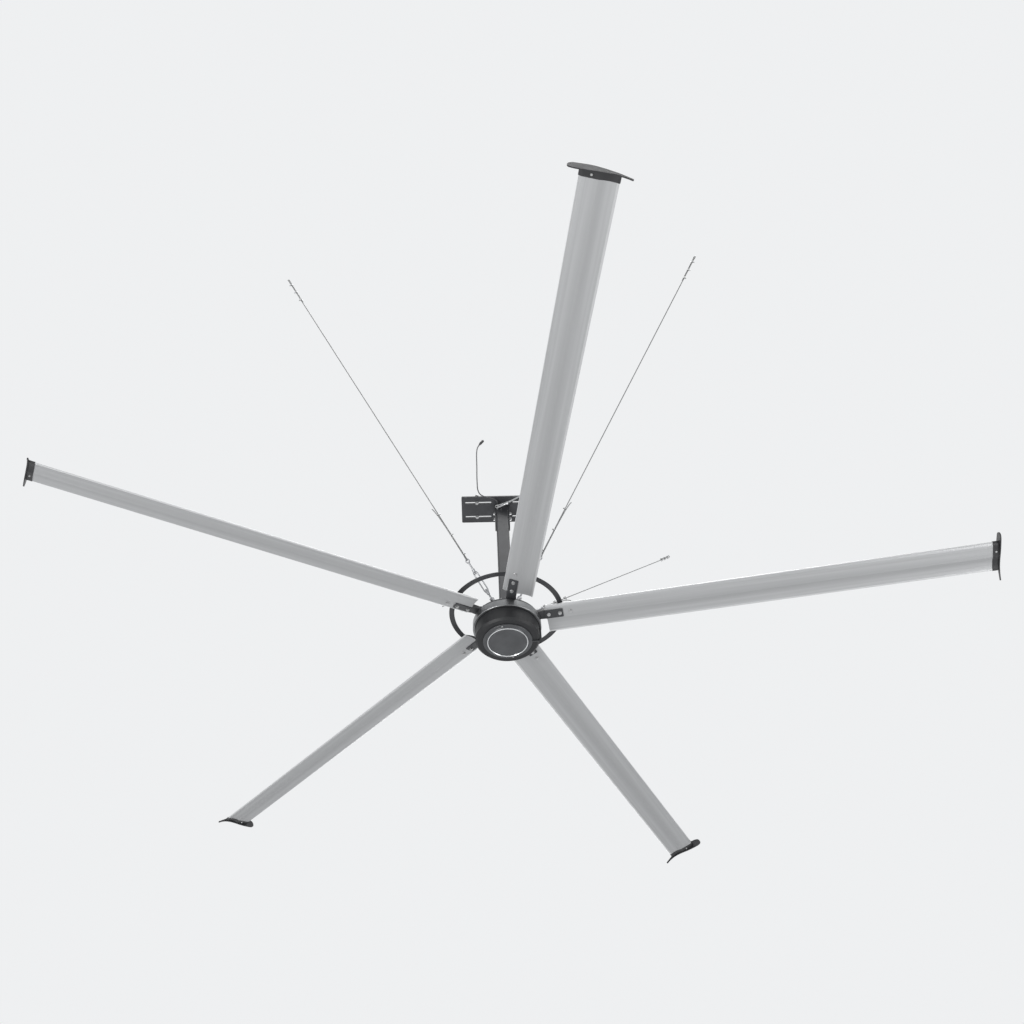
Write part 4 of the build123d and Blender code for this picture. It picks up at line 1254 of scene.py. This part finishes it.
@dataclass
class Welds:
    """Weld beads round the down-rod's foot and along the bracket's cheeks.

    Attributes:
        rod_half: half the down-rod's width.
        rod_corner: radius of its corners.
        corner_parts: points in each corner.
        cheek_half: half the cheeks' width.
        cheek_face: distance of a cheek's outer face from the middle.
    """

    rod_half: float = 0.0525
    rod_corner: float = 0.012
    corner_parts: int = 5
    foot_top: float = BLADE_LEVEL + 0.102
    plate_underside: float = -0.012
    cheek_half: float = 0.048
    cheek_face: float = 0.0625
    spacing: float = 0.003
    bead: Section = Section(0.0045, sides=8, ripple=0.16)

    def square(self) -> list[Vector]:
        """Goes round the down-rod at its foot.

        Returns:
            Evenly spaced points.
        """
        flat = self.rod_half - self.rod_corner
        points = []
        for quarter, (sx, sy) in enumerate(((1, 1), (-1, 1), (-1, -1), (1, -1))):
            for part in range(self.corner_parts):
                angle = radians(90 * (quarter + part / (self.corner_parts - 1)))
                x = sx * flat + self.rod_corner * cos(angle)
                y = sy * flat + self.rod_corner * sin(angle)
                points.append(Vector((x, y, 0)))
        raised = [point + Vector((0, 0, self.foot_top)) for point in points]
        return even_line(raised + raised[:1], self.spacing)[:-1]

    def cheek(self, side: int) -> list[Vector]:
        """Goes along one cheek of the ceiling bracket.

        Args:
            side: -1 or 1.

        Returns:
            Evenly spaced points.
        """
        x, z = side * self.cheek_face, self.plate_underside
        return even_line([Vector((x, y, z)) for y in (-self.cheek_half, self.cheek_half)], self.spacing)

    def fill(self, work: bmesh.types.BMesh) -> None:
        """Sweeps every bead into a mesh.

        Args:
            work: the mesh.
        """
        sweep(work, self.square(), self.bead, closed=True)
        for side in (-1, 1):
            sweep(work, self.cheek(side), self.bead)

    def build(self, shop: PaintShop) -> None:
        """Makes the beads."""
        piece("weld_beads", self.fill, shop.of(WeldMetal("painted weld")))


# Studio


@dataclass(frozen=True)
class Lamp:
    """One soft area lamp that faces the hub.

    Attributes:
        name: its name.
        place: where it stands.
        size: its width.
        power: its power in watts.
    """

    name: str
    place: Point
    size: float
    power: float

    def build(self) -> None:
        """Adds the lamp."""
        light = bpy.data.lights.new(self.name, "AREA")
        light.shape = "DISK"
        light.size = self.size
        light.energy = self.power
        made = bpy.data.objects.new(self.name, light)
        made.location = self.place
        made.rotation_euler = (BLADE_CENTRE - Vector(self.place)).to_track_quat("-Z", "Y").to_euler()
        bpy.context.collection.objects.link(made)


@dataclass
class Studio:
    """Floor, lamps, world and camera.

    Attributes:
        elevation: how far the camera looks up.
        yaw: how far it looks to the right of +Y.
        view_end: how far it sees.
        floor_half: half the floor's width.
        floor_glow: share of the backdrop's tone in the floor, as the camera sees it.
        lamps: a broad key from low on the left, a fill from the right, a soft top lamp and one behind.
    """

    camera_place: Point = (-0.1955, -6.018, -7.074)
    elevation: float = 49.457
    yaw: float = -1.451
    lens: float = 37.41
    shift_x: float = 0.0488
    view_end: float = 200.0
    floor_level: float = -9.2
    floor_half: float = 150.0
    floor_glow: float = 0.85
    light_colour: Colour = (0.95, 0.97, 1.0)
    light_strength: float = 0.4
    lamps: tuple[Lamp, ...] = (
        Lamp("key", (-6.0, -5.5, -7.5), 4.0, 420.0),
        Lamp("fill", (6.5, -3.0, -6.5), 4.0, 170.0),
        Lamp("top", (1.5, -2.5, 7.0), 6.0, 420.0),
        Lamp("back", (0.5, 7.5, 1.5), 5.0, 160.0),
    )

    def build(self) -> None:
        """Sets the stage."""
        self.floor()
        self.world()
        for lamp in self.lamps:
            lamp.build()
        self.camera()

    def floor_material(self) -> bpy.types.Material:
        """Makes the floor as pale as the backdrop where it is seen, with some of its own shadow.

        Returns:
            The material.
        """
        shader = Shader("pale floor")
        tone = shader.mix(shader.noise(0.6, 3.0), (0.8, 0.8, 0.79), (0.84, 0.84, 0.83))
        material = shader.finish(tone, 0.8, 0.0)
        glow = shader.node("ShaderNodeEmission", {"Color": PALE_BACKDROP})
        inputs = {0: shader.looked_at() * self.floor_glow, 1: shader.surface, 2: glow}
        shader.plug(shader.output.made.inputs["Surface"], shader.node("ShaderNodeMixShader", inputs))
        return material

    def floor(self) -> None:
        """Plain pale floor far below the fan."""
        work = bmesh.new()
        bmesh.ops.create_grid(work, x_segments=8, y_segments=8, size=self.floor_half)
        bmesh.ops.translate(work, vec=(0, 0, self.floor_level), verts=work.verts)
        data = bpy.data.meshes.new("floor")
        work.to_mesh(data)
        work.free()
        data.materials.append(self.floor_material())
        made = bpy.data.objects.new("floor", data)
        bpy.context.collection.objects.link(made)

    def world(self) -> None:
        """Pale backdrop for the camera and for reflections, softer light for the rest."""
        world = bpy.data.worlds.new("studio")
        bpy.context.scene.world = world
        nodes = Nodes(world)
        seen = nodes.node("ShaderNodeBackground", {"Color": PALE_BACKDROP})
        light = {"Color": (*self.light_colour, 1.0), "Strength": self.light_strength}
        lit = nodes.node("ShaderNodeBackground", light)
        both = nodes.node("ShaderNodeMixShader", {0: nodes.looked_at(), 1: lit, 2: seen})
        nodes.node("ShaderNodeOutputWorld", {"Surface": both})

    def camera(self) -> None:
        """Camera at the photograph's place and angle."""
        data = bpy.data.cameras.new("camera")
        data.lens = self.lens
        data.sensor_width = 36.0
        data.shift_x = self.shift_x
        data.clip_end = self.view_end
        made = bpy.data.objects.new("camera", data)
        rise, turn = radians(self.elevation), radians(self.yaw)
        forward = Vector((sin(turn) * cos(rise), cos(turn) * cos(rise), sin(rise)))
        made.location = self.camera_place
        made.rotation_euler = forward.to_track_quat("-Z", "Y").to_euler()
        bpy.context.collection.objects.link(made)
        bpy.context.scene.camera = made


def main() -> None:
    """Builds the dressed fan."""
    logging.basicConfig(level=logging.INFO, format="%(name)s %(message)s")
    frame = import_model()
    nodes = frame["nodes"]
    shop = PaintShop()
    shop.dress(nodes)
    GuyRopes().build(shop, nodes)
    SafetyRope().build(shop, nodes)
    PowerCable().build(shop, nodes)
    Threads().build(shop)
    Welds().build(shop)
    Studio().build()
    bpy.context.scene.view_settings.view_transform = "Standard"


if __name__ == "__main__":
    main()
